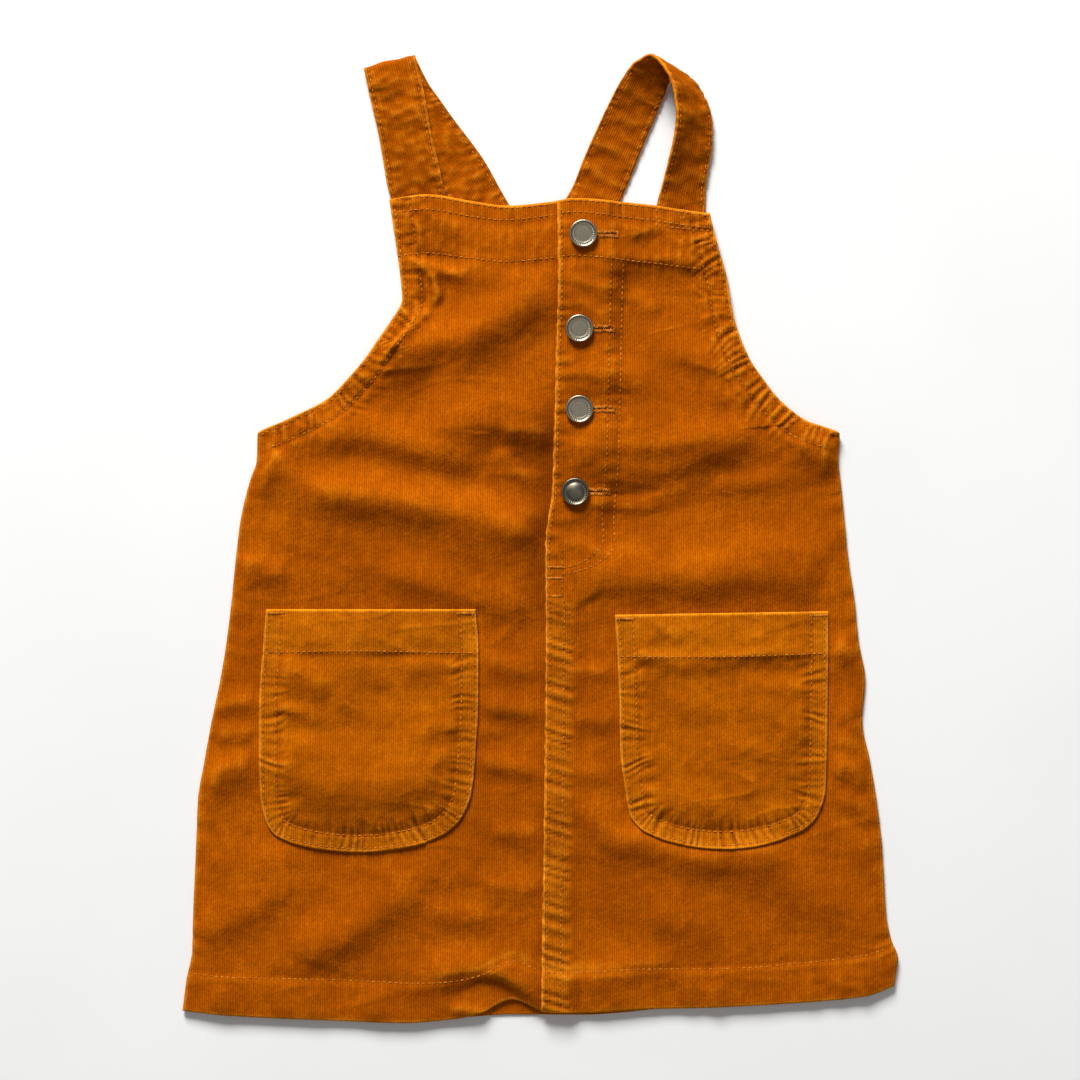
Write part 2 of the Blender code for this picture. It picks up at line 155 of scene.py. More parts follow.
def paced(points: Array) -> Array:
    """Length walked along a line up to each of its points."""
    return np.concatenate([[0.0], np.cumsum(np.linalg.norm(np.diff(points, axis=0), axis=1))])


def through(knots: Array, walked: Array, spacing: float) -> Array:
    """Catmull-Rom cubics through knots: each tangent comes from the neighbouring knots.

    Args:
        knots: rows of values.
        walked: the length walked up to each knot.
        spacing: about how far apart the new rows lie.

    Returns:
        New rows at an even pace.
    """
    tangent = np.gradient(knots, walked, axis=0)
    at = np.linspace(0, walked[-1], max(2, int(walked[-1] / spacing) + 1))
    i = np.clip(np.searchsorted(walked, at) - 1, 0, len(knots) - 2)
    step = (walked[i + 1] - walked[i])[:, None]
    t = (at[:, None] - walked[i][:, None]) / step
    rise = knots[i + 1] - knots[i]
    bend = t * (1 - t) * ((tangent[i] * step - rise) * (1 - t) - (tangent[i + 1] * step - rise) * t)
    return knots[i] + rise * t + bend


def smooth_path(points: Sequence[Sequence[float]], spacing: float) -> Array:
    """A smooth path through places in plan or in space, with points about spacing apart."""
    knots = np.array(points, float)
    return through(knots, paced(knots), spacing)


def left_of(path: Array) -> Array:
    """Unit plan vectors that point to the left of a path's run."""
    run = np.gradient(path, axis=0)
    return np.column_stack([-run[:, 1], run[:, 0]]) / np.linalg.norm(run, axis=1)[:, None]


def nearest(path: Array, x: Array, y: Array) -> tuple[Array, Array, float]:
    """How far along a plan path each point lies, and how far to its left.

    Args:
        path: plan points in order.
        x: points' x.
        y: points' y.

    Returns:
        The walked length, the signed distance aside (left of the run is positive), and the path's length.
    """
    best = np.full(np.shape(x), np.inf)
    walked = np.zeros(np.shape(x))
    aside = np.zeros(np.shape(x))
    done = 0.0
    for start, end in zip(path[:-1], path[1:]):
        run = end - start
        length = float(np.hypot(*run))
        dx, dy = x - start[0], y - start[1]
        t = np.clip((dx * run[0] + dy * run[1]) / length**2, 0, 1)
        gap = np.hypot(dx - t * run[0], dy - t * run[1])
        side = np.sign(run[0] * dy - run[1] * dx)
        closer = gap < best
        best = np.where(closer, gap, best)
        walked = np.where(closer, done + t * length, walked)
        aside = np.where(closer, gap * side, aside)
        done += length
    return walked, aside, done


def ripple(along: Array, pitch: float, seed: int) -> Array:
    """Uneven puckers: a sine whose phase and size wander along the seam, from -1 to 1.

    Args:
        along: places along the seam.
        pitch: about one pucker's length.
        seed: which wander.

    Returns:
        The puckers' height.
    """
    a, b, c, d = np.random.default_rng(seed).uniform(0, 2 * np.pi, 4)
    turn = 2 * np.pi * along / pitch
    phase = turn + 1.5 * np.sin(turn / 6.7 + a) + 0.9 * np.sin(turn / 3.1 + b)
    size = 0.62 + 0.25 * np.sin(turn / 4.3 + c) + 0.13 * np.sin(turn / 2.3 + d)
    return np.sin(phase) * size


def gathers(along: Array, pitch: float, seed: int) -> Array:
    """Gathers at a seam: rounded crests between narrow, uneven creases, from -1 to about 0.4.

    Args:
        along: places along the seam.
        pitch: about one gather's length.
        seed: which unevenness.

    Returns:
        The gathers' height.
    """
    first, second = ripple(along, pitch, seed), ripple(along, pitch * 1.63, seed + 100)
    return 0.4 * first - np.clip(-first, 0, 1) ** 2 * 0.6 - 0.7 * np.clip(-second, 0, 1) ** 3


def wander(x: Array, y: Array, scale: float, seed: int) -> Array:
    """Smooth random hills: fourteen plane waves of like length in random directions, about -1 to 1.

    Args:
        x: places across.
        y: places up.
        scale: about one hill's length.
        seed: which hills.

    Returns:
        The hills' height.
    """
    rng = np.random.default_rng(seed)
    total = np.zeros(np.shape(x))
    for _ in range(14):
        angle, phase = rng.uniform(0, 2 * np.pi, 2)
        turn = 2 * np.pi / (scale * rng.uniform(0.7, 1.5))
        total += np.sin((x * np.cos(angle) + y * np.sin(angle)) * turn + phase)
    return total / 5.3


def crumples(x: Array, y: Array, scale: float, seed: int) -> Array:
    """Thin random crests, 0 to 1, where smooth hills pass through 0, in patches picked by broader hills.

    Args:
        x: places across.
        y: places up.
        scale: about one hill's length.
        seed: which hills.

    Returns:
        The crests' height.
    """
    crest = np.clip(1 - 1.7 * np.abs(wander(x, y, scale, seed)), 0, 1) ** 2
    return crest * eased(0.35 + 1.1 * wander(x, y, 3.2 * scale, seed + 50))


def ridge(crease: Crease, x: Array, y: Array) -> Array:
    """One crease: a bell across it, of two widths, that fades towards both ends.

    Args:
        crease: its row in a table.
        x: places across.
        y: places up.

    Returns:
        Its height at each place, which is more for a broader crease.
    """
    path = smooth_path(crease.points, 8.0)
    walked, aside, length = nearest(path, x, y)
    width = np.where(aside > 0, crease.upper, crease.lower)
    reach = min(0.3 * length, 18.0) + 1e-6
    fade = 0.25 + 0.75 * eased(walked / reach) * eased((length - walked) / reach)
    return crease.rise * (0.5 + 0.055 * crease.lower) * fade * bell(aside, width)


def relief(creases: Sequence[Crease], x: Array, y: Array) -> Array:
    """The sum of all the creases of a table.

    Args:
        creases: the table.
        x: places across.
        y: places up.

    Returns:
        Their height together.
    """
    total = np.zeros(np.shape(x))
    for crease in creases:
        total += ridge(crease, x, y)
    return total


def bell(distance: Array, width: Array | float) -> Array:
    """A bell curve, exp(-(distance / width)^2): 1 in its middle, about a third one width away."""
    return np.exp(-((distance / width) ** 2))


def band(distance: Array, low: float, high: float, soft: float) -> Array:
    """1 between two distances, 0 outside, eased over soft."""
    return eased((distance - low) / soft + 0.5) * eased((high - distance) / soft + 0.5)


# ---------------------------------------------------------------- meshes


def grid_faces(rows: int, columns: int) -> Array:
    """Quads of a grid of points, counter-clockwise when rows run up and columns run right."""
    index = np.arange(rows * columns).reshape(rows, columns)
    corners = (index[:-1, :-1], index[:-1, 1:], index[1:, 1:], index[1:, :-1])
    return np.stack(corners, axis=-1).reshape(-1, 4)


def tube_faces(rows: int, columns: int) -> Array:
    """Quads of a grid of points whose last column joins its first."""
    index = np.arange(rows * columns).reshape(rows, columns)
    closed = np.concatenate([index, index[:, :1]], axis=1)
    corners = (closed[1:, :-1], closed[1:, 1:], closed[:-1, 1:], closed[:-1, :-1])
    return np.stack(corners, axis=-1).reshape(-1, 4)


def placed(name: str, mesh: bpy.types.Mesh) -> bpy.types.Object:
    """A smooth object at the origin that holds a mesh."""
    mesh.shade_smooth()
    made = bpy.data.objects.new(name, mesh)
    bpy.context.scene.collection.objects.link(made)
    return made


def cloth_object(
    name: str, points: Array, faces: list[list[int]], uv: Array, masks: dict[str, Array]
) -> bpy.types.Object:
    """A mesh at the origin with a UV map in metres and one attribute for each mask.

    Args:
        name: the piece's name.
        points: (n, 3) in millimetres.
        faces: the points' indices, face by face.
        uv: the cloth's own coordinates (n, 2) in millimetres.
        masks: values (n,) by name.

    Returns:
        The new object.
    """
    mesh = bpy.data.meshes.new(name)
    mesh.from_pydata((points * MM).tolist(), [], faces)
    corners = np.empty(len(mesh.loops), np.int32)
    mesh.loops.foreach_get("vertex_index", corners)
    layer = mesh.uv_layers.new(name="Cloth")
    layer.data.foreach_set("uv", (uv * MM)[corners].ravel().astype(np.float32))
    for key, mask in masks.items():
        attribute = mesh.attributes.new(key, "FLOAT", "POINT")
        attribute.data.foreach_set("value", mask.astype(np.float32))
    return placed(name, mesh)


def nosed(top: Array, under: Array, share: Array, sink: float = 0.0) -> tuple[Array, Array]:
    """Thins a wall towards its turned edges.

    Args:
        top: the upper side's height.
        under: the under side's height.
        share: how much of the thickness is left.
        sink: how far the upper side goes down where none is left.

    Returns:
        The new upper and under side.
    """
    middle, half = (top + under) / 2, (top - under) / 2
    return middle - sink * (1 - share) + half * share, middle - half * share


def walled(
    name: str, x: Array, y: Array, top: Array, under: Array, masks: dict[str, Array]
) -> bpy.types.Object:
    """A sheet with a wall: its upper side, its under side, and a rim that joins them all round.

    Args:
        name: the piece's name.
        x: grid of places across.
        y: grid of places up.
        top: the upper side's height.
        under: the under side's height.
        masks: grids of values by name.

    Returns:
        The new object.
    """
    rows, columns = x.shape
    count = rows * columns
    upper = grid_faces(rows, columns)
    index = np.arange(count).reshape(rows, columns)
    ring = np.concatenate([index[0, :-1], index[:-1, -1], index[-1, :0:-1], index[:0:-1, 0]])
    after = np.roll(ring, -1)
    rim = np.stack([after, ring, ring + count, after + count], axis=-1)
    faces = np.concatenate([upper, upper[:, ::-1] + count, rim]).tolist()
    flat = [np.stack([x, y, z], axis=-1).reshape(-1, 3) for z in (top, under)]
    uv = np.tile(np.stack([x, y], axis=-1).reshape(-1, 2), (2, 1))
    doubled = {key: np.tile(mask.ravel(), 2) for key, mask in masks.items()}
    return cloth_object(name, np.concatenate(flat), faces, uv, doubled)


def spaced(length: float, cell: float) -> Array:
    """Shares from 0 to 1 in steps of one cell, and finer over the last two millimetres at both ends.

    Args:
        length: the whole length.
        cell: one step's length.

    Returns:
        The shares in order.
    """
    ends = np.array([0.0, 0.25, 0.6, 1.1, 1.8]) / length
    count = max(2, int(length / cell))
    inner = np.linspace(ends[-1] + cell / length, 1 - ends[-1] - cell / length, count - 2)
    return np.concatenate([ends, inner, 1 - ends[::-1]])


def bends(z: Array, x: Array, y: Array) -> Array:
    """How strongly a surface bends, in 1/mm: its second differences along rows and along columns.

    Args:
        z: grid of heights.
        x: places across.
        y: places up.

    Returns:
        The bend at each place, above 0 in a hollow.
    """
    across = np.maximum(np.hypot(np.gradient(x, axis=1), np.gradient(y, axis=1)), 0.2)
    along = np.maximum(np.hypot(np.gradient(x, axis=0), np.gradient(y, axis=0)), 0.2)
    return (
        np.gradient(np.gradient(z, axis=1) / across, axis=1) / across
        + np.gradient(np.gradient(z, axis=0) / along, axis=0) / along
    )


def bull_nose(edge: Array, radius: float) -> Array:
    """Share of the full thickness near a turned edge: a half circle, from almost 0 at the edge to 1."""
    inner = np.clip(1 - edge / radius, 0, 1)
    return np.maximum(np.sqrt(np.clip(1 - inner**2, 0, 1)), 0.08)


SEED_RINGS = (-0.62, 0.0, 0.62)
SEED_SIDES = 5


def seed_shape() -> tuple[Array, Array]:
    """A small closed seed: rings of a unit ball between two poles, as points and triangles.

    Returns:
        Points (n, 3) and triangles (m, 3).
    """
    turn = np.arange(SEED_SIDES) * 2 * np.pi / SEED_SIDES
    at = np.repeat(SEED_RINGS, SEED_SIDES)
    wide = np.sqrt(1 - at**2)
    angle = np.tile(turn, len(SEED_RINGS))
    rings = np.column_stack([at, wide * np.cos(angle), wide * np.sin(angle)])
    points = np.concatenate([[[-1.0, 0.0, 0.0]], rings, [[1.0, 0.0, 0.0]]])
    k = np.arange(SEED_SIDES)
    n = (k + 1) % SEED_SIDES
    faces = [np.column_stack([0 * k, 1 + n, 1 + k])]
    for ring in range(len(SEED_RINGS) - 1):
        low = 1 + ring * SEED_SIDES
        high = low + SEED_SIDES
        faces.append(np.column_stack([low + k, low + n, high + n]))
        faces.append(np.column_stack([low + k, high + n, high + k]))
    last = 1 + (len(SEED_RINGS) - 1) * SEED_SIDES
    faces.append(np.column_stack([last + k, last + n, 0 * k + len(points) - 1]))
    return points, np.concatenate(faces)


@dataclass
class Thread:
    """Sewing on one piece, gathered into one mesh of small seeds, one for each stitch that shows."""

    name: str
    half_length: float = 1.05
    half_width: float = 0.36
    half_height: float = 0.27
    pitch: float = 3.0
    lift: float = 0.07
    points: list[Array] = field(default_factory=list)
    faces: list[Array] = field(default_factory=list)

    def add(self, places: Array, runs: Array, half_length: float | None = None) -> None:
        """Adds stitches, each the unit seed stretched along its run.

        Args:
            places: centres (n, 3).
            runs: directions (n, 3).
            half_length: another half length.
        """
        unit, faces = seed_shape()
        runs = runs / (np.linalg.norm(runs, axis=1)[:, None] + 1e-9)
        aside = np.cross([0.0, 0.0, 1.0], runs)
        aside /= np.linalg.norm(aside, axis=1)[:, None] + 1e-9
        upward = np.cross(runs, aside)
        axes = np.stack([runs, aside, upward], axis=1)
        size = [half_length or self.half_length, self.half_width, self.half_height]
        shape = np.einsum("pk,nkc->npc", unit * size, axes)
        made = shape + places[:, None] + [0.0, 0.0, self.lift]
        used = sum(len(block) for block in self.points)
        starts = used + np.arange(len(places)) * len(unit)
        self.points.append(made.reshape(-1, 3))
        self.faces.append((faces[None] + starts[:, None, None]).reshape(-1, 3))

    def run(self, line: Array, seed: int = 0) -> None:
        """Stitches at an even pitch along a line in space, each turned a little.

        Args:
            line: points in space.
            seed: which small turns.
        """
        walked = paced(line)
        count = max(1, int(walked[-1] / self.pitch))
        at = (np.arange(count) + 0.5) * walked[-1] / count
        ends = [
            np.stack([np.interp(at + step, walked, line[:, k]) for k in range(3)], axis=1)
            for step in (-self.half_length, self.half_length)
        ]
        runs = ends[1] - ends[0]
        turn = np.random.default_rng(seed + len(line)).normal(0, 0.07, count)
        runs[:, :2] += np.stack([-runs[:, 1], runs[:, 0]], axis=1) * turn[:, None]
        self.add((ends[0] + ends[1]) / 2, runs)

    def build(self) -> bpy.types.Object:
        """One mesh of all the stitches."""
        mesh = bpy.data.meshes.new(self.name)
        points = np.concatenate(self.points) * MM
        mesh.from_pydata(points.tolist(), [], np.concatenate(self.faces).tolist())
        return placed(self.name, mesh)


# ---------------------------------------------------------------- the cut of the dress

HEM = -255.0
TOP = 180.0
UNDERARM = 56.0
PLACKET_END = -32.0

FRONT_SECTIONS = (
    Section(-255, -192.8, 191.0),
    Section(-238, -190.6, 193.0),
    Section(-222, -187.6, 189.5),
    Section(-206, -187.2, 187.0),
    Section(-163, -185.4, 184.2),
    Section(-141, -184.5, 181.5),
    Section(-120, -181.0, 178.0),
    Section(-98, -177.0, 173.8),
    Section(-76, -172.4, 175.4),
    Section(-55, -169.0, 171.8),
    Section(-33, -166.3, 169.6),
    Section(-12, -164.2, 166.4),
    Section(10, -161.5, 164.2),
    Section(32, -156.2, 162.0),
    Section(42, -152.8, 160.9),
    Section(UNDERARM, -152.3, 161.6),
    Section(64, -136.6, 142.6),
    Section(75, -115.0, 129.0),
    Section(86, -103.6, 120.3),
    Section(96, -95.0, 113.4),
    Section(107, -87.4, 108.5),
    Section(118, -79.9, 104.8),
    Section(129, -74.4, 102.6),
    Section(140, -75.2, 101.0),
    Section(161, -78.3, 95.8),
    Section(TOP, -81.2, 91.5),
)
BACK_TOP = (
    Section(UNDERARM, -150.5, 160.0),
    Section(64, -124.0, 130.0),
    Section(73, -92.0, 97.0),
    Section(84, -62.0, 66.0),
)
BIB_EDGE = (
    Knot(-82, 182.4),
    Knot(-61, 185.3),
    Knot(-37, 181.7),
    Knot(-18, 179.2),
    Knot(9, 181.7),
    Knot(18, 183.0),
    Knot(44, 181.2),
    Knot(62, 179.3),
    Knot(78, 176.8),
    Knot(92, 175.0),
)
FRONT_HEM = (
    Knot(-193, -254.6),
    Knot(-166, -257.3),
    Knot(-115, -259.7),
    Knot(-73, -261.0),
    Knot(-46, -259.0),
    Knot(-32, -255.8),
    Knot(-15, -248.5),
    Knot(3, -254.8),
    Knot(22, -255.6),
    Knot(53, -253.8),
    Knot(86, -253.0),
    Knot(140, -250.2),
    Knot(175, -246.8),
    Knot(193, -240.5),
)
BACK_HEM = (
    Knot(-193, -252.8),
    Knot(-115, -257.8),
    Knot(-46, -258.4),
    Knot(-15, -256.8),
    Knot(22, -257.0),
    Knot(86, -251.6),
    Knot(140, -248.6),
    Knot(193, -239.0),
)
CENTRE_EDGE = (
    Knot(HEM, 0.6),
    Knot(-44, 3.0),
    Knot(-4, 2.8),
    Knot(26, 6.4),
    Knot(105, 8.7),
    Knot(140, 9.7),
    Knot(TOP, 9.2),
)


class Rest(NamedTuple):
    """What the front rests on at one height: over the crossed straps in the middle, lower beside them."""

    height: float
    middle: float
    side: float
    left: float
    right: float


RESTS = (
    Rest(HEM, 1.55, 1.55, -60, 60),
    Rest(44, 1.7, 1.55, -50, 54),
    Rest(53, 2.8, 1.55, -50, 54),
    Rest(61, 4.3, 1.55, -52, 56),
    Rest(88, 4.9, 1.55, -42, 44),
    Rest(100, 5.1, 1.2, -34, 36),
    Rest(129, 5.1, 0.8, -30, 32),
    Rest(150, 5.1, 1.6, -34, 36),
    Rest(158, 5.1, 2.4, -36, 38),
    Rest(169, 4.4, 3.0, -50, 60),
    Rest(177, 3.6, 3.4, -60, 70),
    Rest(190, 3.5, 3.6, -60, 70),
)


def crease(rise: float, upper: float, lower: float, *points: tuple[float, float]) -> Crease:
    """A row of a crease table with its places last."""
    return Crease(points, rise, upper, lower)


# Folds of the front, run from left to right: a soft swell on the upper side, a steeper fall on the lower one
CREASES = (
    # left of the centre, above the waist
    crease(2.9, 13, 14, (-90, 91), (-70, 101), (-45, 108), (-22, 117), (-4, 129), (8, 139)),
    crease(2.5, 12, 10, (-128, 52), (-104, 56), (-84, 54), (-66, 49), (-44, 44), (-28, 38)),
    crease(2.0, 14, 11, (-62, 56), (-45, 62), (-22, 64), (-6, 67), (10, 71)),
    crease(1.6, 6, 13, (-24, 57), (-8, 56), (8, 54)),
    crease(2.1, 8, 12, (-160, 33), (-146, 38), (-134, 47)),
    crease(2.6, 11, 12, (-128, 26), (-95, 23), (-60, 17), (-38, 12), (-15, 6), (6, 3)),
    crease(0.45, 16, 34, (-150, 26), (-100, 21), (-50, 12), (0, 4)),
    crease(0.9, 4, 6, (-26, 50), (-16, 40), (-6, 30)),
    crease(0.8, 4, 5, (-12, 34), (2, 30)),
    crease(0.8, 3, 4, (-9, 14), (4, 12)),
    crease(1.5, 12, 8, (-90, -18), (-70, -22), (-48, -28), (-20, -35), (4, -38)),
    crease(0.9, 10, 12, (-62, 1), (-34, -6), (-8, -18), (4, -24)),
    crease(1.4, 8, 8, (-168, -15), (-150, -16), (-132, -21)),
    crease(1.3, 3, 3, (-70, 121), (-57, 120)),
    crease(0.9, 3, 3.5, (-82, 104), (-72, 103)),
    crease(1.9, 3, 4, (-74, 151), (-62, 147), (-55, 146), (-46, 142), (-36, 146)),
    crease(2.2, 2.4, 3, (-64, 147), (-57, 140), (-55, 131), (-58, 123)),
    crease(2.0, 2.6, 3, (-62, 121), (-71, 112), (-79, 104), (-86, 95)),
    crease(-1.7, 2.0, 2.2, (-64, 140), (-61, 131), (-63, 125)),
    crease(-1.3, 2.0, 2.2, (-70, 119), (-78, 109), (-85, 100)),
    crease(0.7, 3, 3, (-66, 138), (-60, 135)),
    crease(0.7, 8, 8, (-113, -28), (-97, -12)),
    crease(0.8, 9, 8, (-56, 138), (-34, 141), (4, 142)),
    # right of the centre, above the waist
    crease(1.3, 6, 7, (26, 151), (48, 150), (70, 149), (92, 148)),
    crease(1.1, 4, 5, (11, 141), (24, 137), (42, 132)),
    crease(1.1, 4, 6, (14, 129), (28, 123), (38, 113)),
    crease(1.1, 5, 8, (44, 129), (56, 127), (66, 119)),
    crease(1.9, 10, 9, (62, 105), (76, 100), (90, 94), (110, 87)),
    crease(1.5, 14, 9, (14, 83), (32, 86), (52, 86), (70, 82)),
    crease(0.9, 4, 4, (13, 89), (30, 88), (44, 89)),
    crease(0.6, 3, 4, (12, 80), (34, 79)),
    crease(1.3, 8, 7, (86, 77), (100, 77), (114, 72)),
    crease(1.9, 30, 9, (14, 52), (60, 53), (104, 58)),
    crease(1.9, 11, 14, (8, 46), (30, 44), (48, 44), (70, 46), (95, 53), (124, 59)),
    crease(0.9, 6, 9, (26, 38), (50, 34), (72, 36), (92, 44), (114, 53)),
    crease(0.9, 4, 6, (36, 20), (52, 18), (70, 24), (84, 30)),
    crease(2.4, 10, 12, (134, 55), (148, 48), (164, 39)),
    crease(1.1, 6, 7, (84, 28), (112, 30), (142, 34)),
    crease(1.0, 4, 4, (7, 20), (24, 20), (46, 18)),
    crease(0.7, 3, 4, (6, 12), (26, 11)),
    crease(0.8, 4, 5, (6, -1), (22, -3), (36, -10)),
    crease(2.2, 16, 14, (20, -18), (50, -20), (86, -20), (130, -17), (158, -22)),
    crease(0.7, 8, 6, (110, -7), (130, -5), (150, -8)),
    # left of the centre, skirt
    crease(1.5, 6, 6, (-180, -92), (-168, -88), (-152, -91)),
    crease(1.4, 5, 6, (-178, -107), (-166, -105), (-152, -103)),
    crease(2.1, 8, 12, (-185, -131), (-170, -125), (-152, -120)),
    crease(1.2, 6, 6, (-33, -66), (-15, -70), (2, -72)),
    crease(1.2, 6, 6, (-34, -90), (-14, -92), (2, -95)),
    crease(0.8, 4, 4, (-34, -103), (-18, -105)),
    crease(1.5, 6, 6, (-36, -120), (-15, -123), (2, -127)),
    crease(1.3, 6, 6, (-27, -155), (-14, -158), (2, -159)),
    crease(1.9, 14, 11, (-136, -227), (-112, -217), (-96, -208), (-80, -196), (-60, -181)),
    crease(1.3, 12, 10, (-190, -217), (-168, -206), (-150, -196), (-128, -179)),
    crease(1.1, 7, 7, (-63, -198), (-46, -203), (-22, -203)),
    crease(0.9, 6, 8, (-30, -189), (-10, -187), (4, -187)),
    crease(0.8, 9, 9, (-160, -176), (-128, -170)),
    # right of the centre, skirt
    crease(
        1.7, 8, 10, (12, -141), (28, -149), (38, -162), (52, -163), (70, -168), (92, -172),
        (118, -168), (138, -172),
    ),
    crease(1.2, 14, 13, (102, -174), (124, -182), (142, -191), (170, -203)),
    crease(1.7, 6, 9, (156, -57), (177, -63)),
    crease(1.1, 7, 6, (160, -90), (176, -100)),
    crease(1.1, 5, 5, (157, -108), (176, -113)),
    crease(1.6, 6, 9, (156, -120), (180, -128)),
    crease(1.2, 5, 6, (158, -139), (184, -149)),
    crease(0.9, 5, 5, (172, -163), (186, -167)),
    crease(1.1, 5, 5, (16, -71), (40, -72)),
    crease(1.1, 5, 5, (16, -97), (42, -99)),
    crease(0.9, 6, 5, (16, -126), (40, -127)),
    crease(0.9, 12, 9, (56, -203), (84, -210)),
    # along the hem
    crease(1.3, 7, 8, (0, -237), (28, -236), (50, -230), (76, -228)),
    crease(2.4, 10, 7, (-66, -238), (-44, -232), (-28, -231), (-12, -238), (0, -250)),
    crease(-2.7, 5, 5, (-42, -244), (-28, -243), (-16, -248), (-6, -255)),
    crease(1.5, 3, 4, (-52, -253), (-38, -254), (-24, -258)),
    crease(0.8, 5, 5, (81, -256), (80, -236)),
    crease(0.8, 5, 5, (95, -256), (94, -238)),
    crease(0.9, 5, 5, (147, -254), (146, -232)),
    crease(0.8, 5, 5, (163, -252), (161, -230)),
    crease(0.8, 5, 5, (175, -250), (172, -230)),
    crease(0.8, 6, 6, (-172, -258), (-170, -238)),
    crease(0.8, 6, 6, (-120, -260), (-124, -240)),
    crease(0.8, 6, 6, (-88, -261), (-92, -243)),
    crease(0.7, 3, 3, (113, -207), (119, -226), (127, -244)),
)

BUTTON_NODES = ("button_1", "button_2", "button_3", "button_4")


@dataclass(frozen=True)
class Cut:
    """The outline of the dress as it lies, its edges, and how high each place of the front lies."""

    cloth: float = 1.3
    turned: float = 2.1
    bib_turning: float = 31.0
    armhole_turning: float = 11.0
    hem_turning: float = 21.0
    placket: float = 34.0
    stand: float = 25.0
    seam_lap: float = 12.0
    lap_gap: float = 0.45
    lap_slope: float = 9.0
    puff: float = 0.8
    rest_slope: float = 20.0

    def side(self, side: Side, height: Array) -> Array:
        """One side's outline."""
        key = "left" if side is Side.LEFT else "right"
        return curve([Knot(row.height, getattr(row, key)) for row in FRONT_SECTIONS], height)

    def centre(self, height: Array) -> Array:
        """Free edge of the upper front, a little wavy."""
        return curve(CENTRE_EDGE, height) + 0.3 * ripple(height, 9, 25)

    def stand_edge(self, height: Array) -> Array:
        """Hidden edge of the lower front: a button stand above the placket's end, a seam lap below it."""
        above = eased((height - PLACKET_END) / 12 + 0.5)
        return self.centre(height) + self.seam_lap + (self.stand - self.seam_lap) * above

    def rows(self, shares: Array) -> Array:
        """Nominal heights spaced evenly along both sides, so that the armholes get enough rows.

        Args:
            shares: shares from 0 at the hem to 1 at the top.

        Returns:
            A height for each share.
        """
        heights = np.linspace(HEM, TOP, 400)
        pace = 1.0 + 0.4 * sum(np.abs(np.gradient(self.side(side, heights), heights)) for side in Side)
        walked = np.concatenate([[0.0], np.cumsum((pace[1:] + pace[:-1]) / 2)])
        return np.interp(shares * walked[-1], walked, heights)

    def real(self, x: Array, nominal: Array, hem: Sequence[Knot] = FRONT_HEM, bib: bool = True) -> Array:
        """Bends nominal rows near the hem and the top to the hem's and the bib's own edges.

        Args:
            x: places across.
            nominal: nominal heights.
            hem: the hem's edge.
            bib: whether the top follows the bib's edge.

        Returns:
            The real heights.
        """
        near_hem = 1 - eased((nominal - HEM) / 60)
        near_top = eased((nominal - TOP + 50) / 50) if bib else 0.0
        return nominal + (curve(hem, x) - HEM) * near_hem + (curve(BIB_EDGE, x) - TOP) * near_top

    def nominal(self, x: Array, y: Array) -> Array:
        """The nominal height of a real place, by four rounds of taking off what real adds.

        Args:
            x: places across.
            y: places up.

        Returns:
            The nominal heights.
        """
        guess = np.asarray(y, float)
        for _ in range(4):
            guess = guess - (self.real(x, guess) - y)
        return guess

    def armhole(self, side: Side) -> Array:
        """Plan path of one armhole's edge, from below the underarm to the bib's corner.

        Args:
            side: which armhole.

        Returns:
            Points (n, 2).
        """
        heights = np.concatenate([np.arange(UNDERARM, 84, 1.0), np.arange(84, TOP + 1, 3.0)])
        x = self.side(side, heights)
        return np.column_stack([x, self.real(x, heights)])

    def rest(self, x: Array, height: Array) -> Array:
        """Height on which the front rests: highest over the crossed straps, low at the armholes.

        Args:
            x: places across.
            height: nominal heights.

        Returns:
            The height below the front.
        """
        middle, side, left, right = (
            curve([Knot(row.height, getattr(row, key)) for row in RESTS], height)
            for key in ("middle", "side", "left", "right")
        )
        over = eased((x - left) / self.rest_slope + 1) * eased((right - x) / self.rest_slope + 1)
        return side + (middle - side) * over


CUT = Cut()


class Spot(NamedTuple):
    """Everything the front's heights need at a set of places."""

    x: Array
    y: Array
    height: Array
    side: Array
    armhole: Array
    along: Array
    bib: Array
    hem: Array
    centre: Array


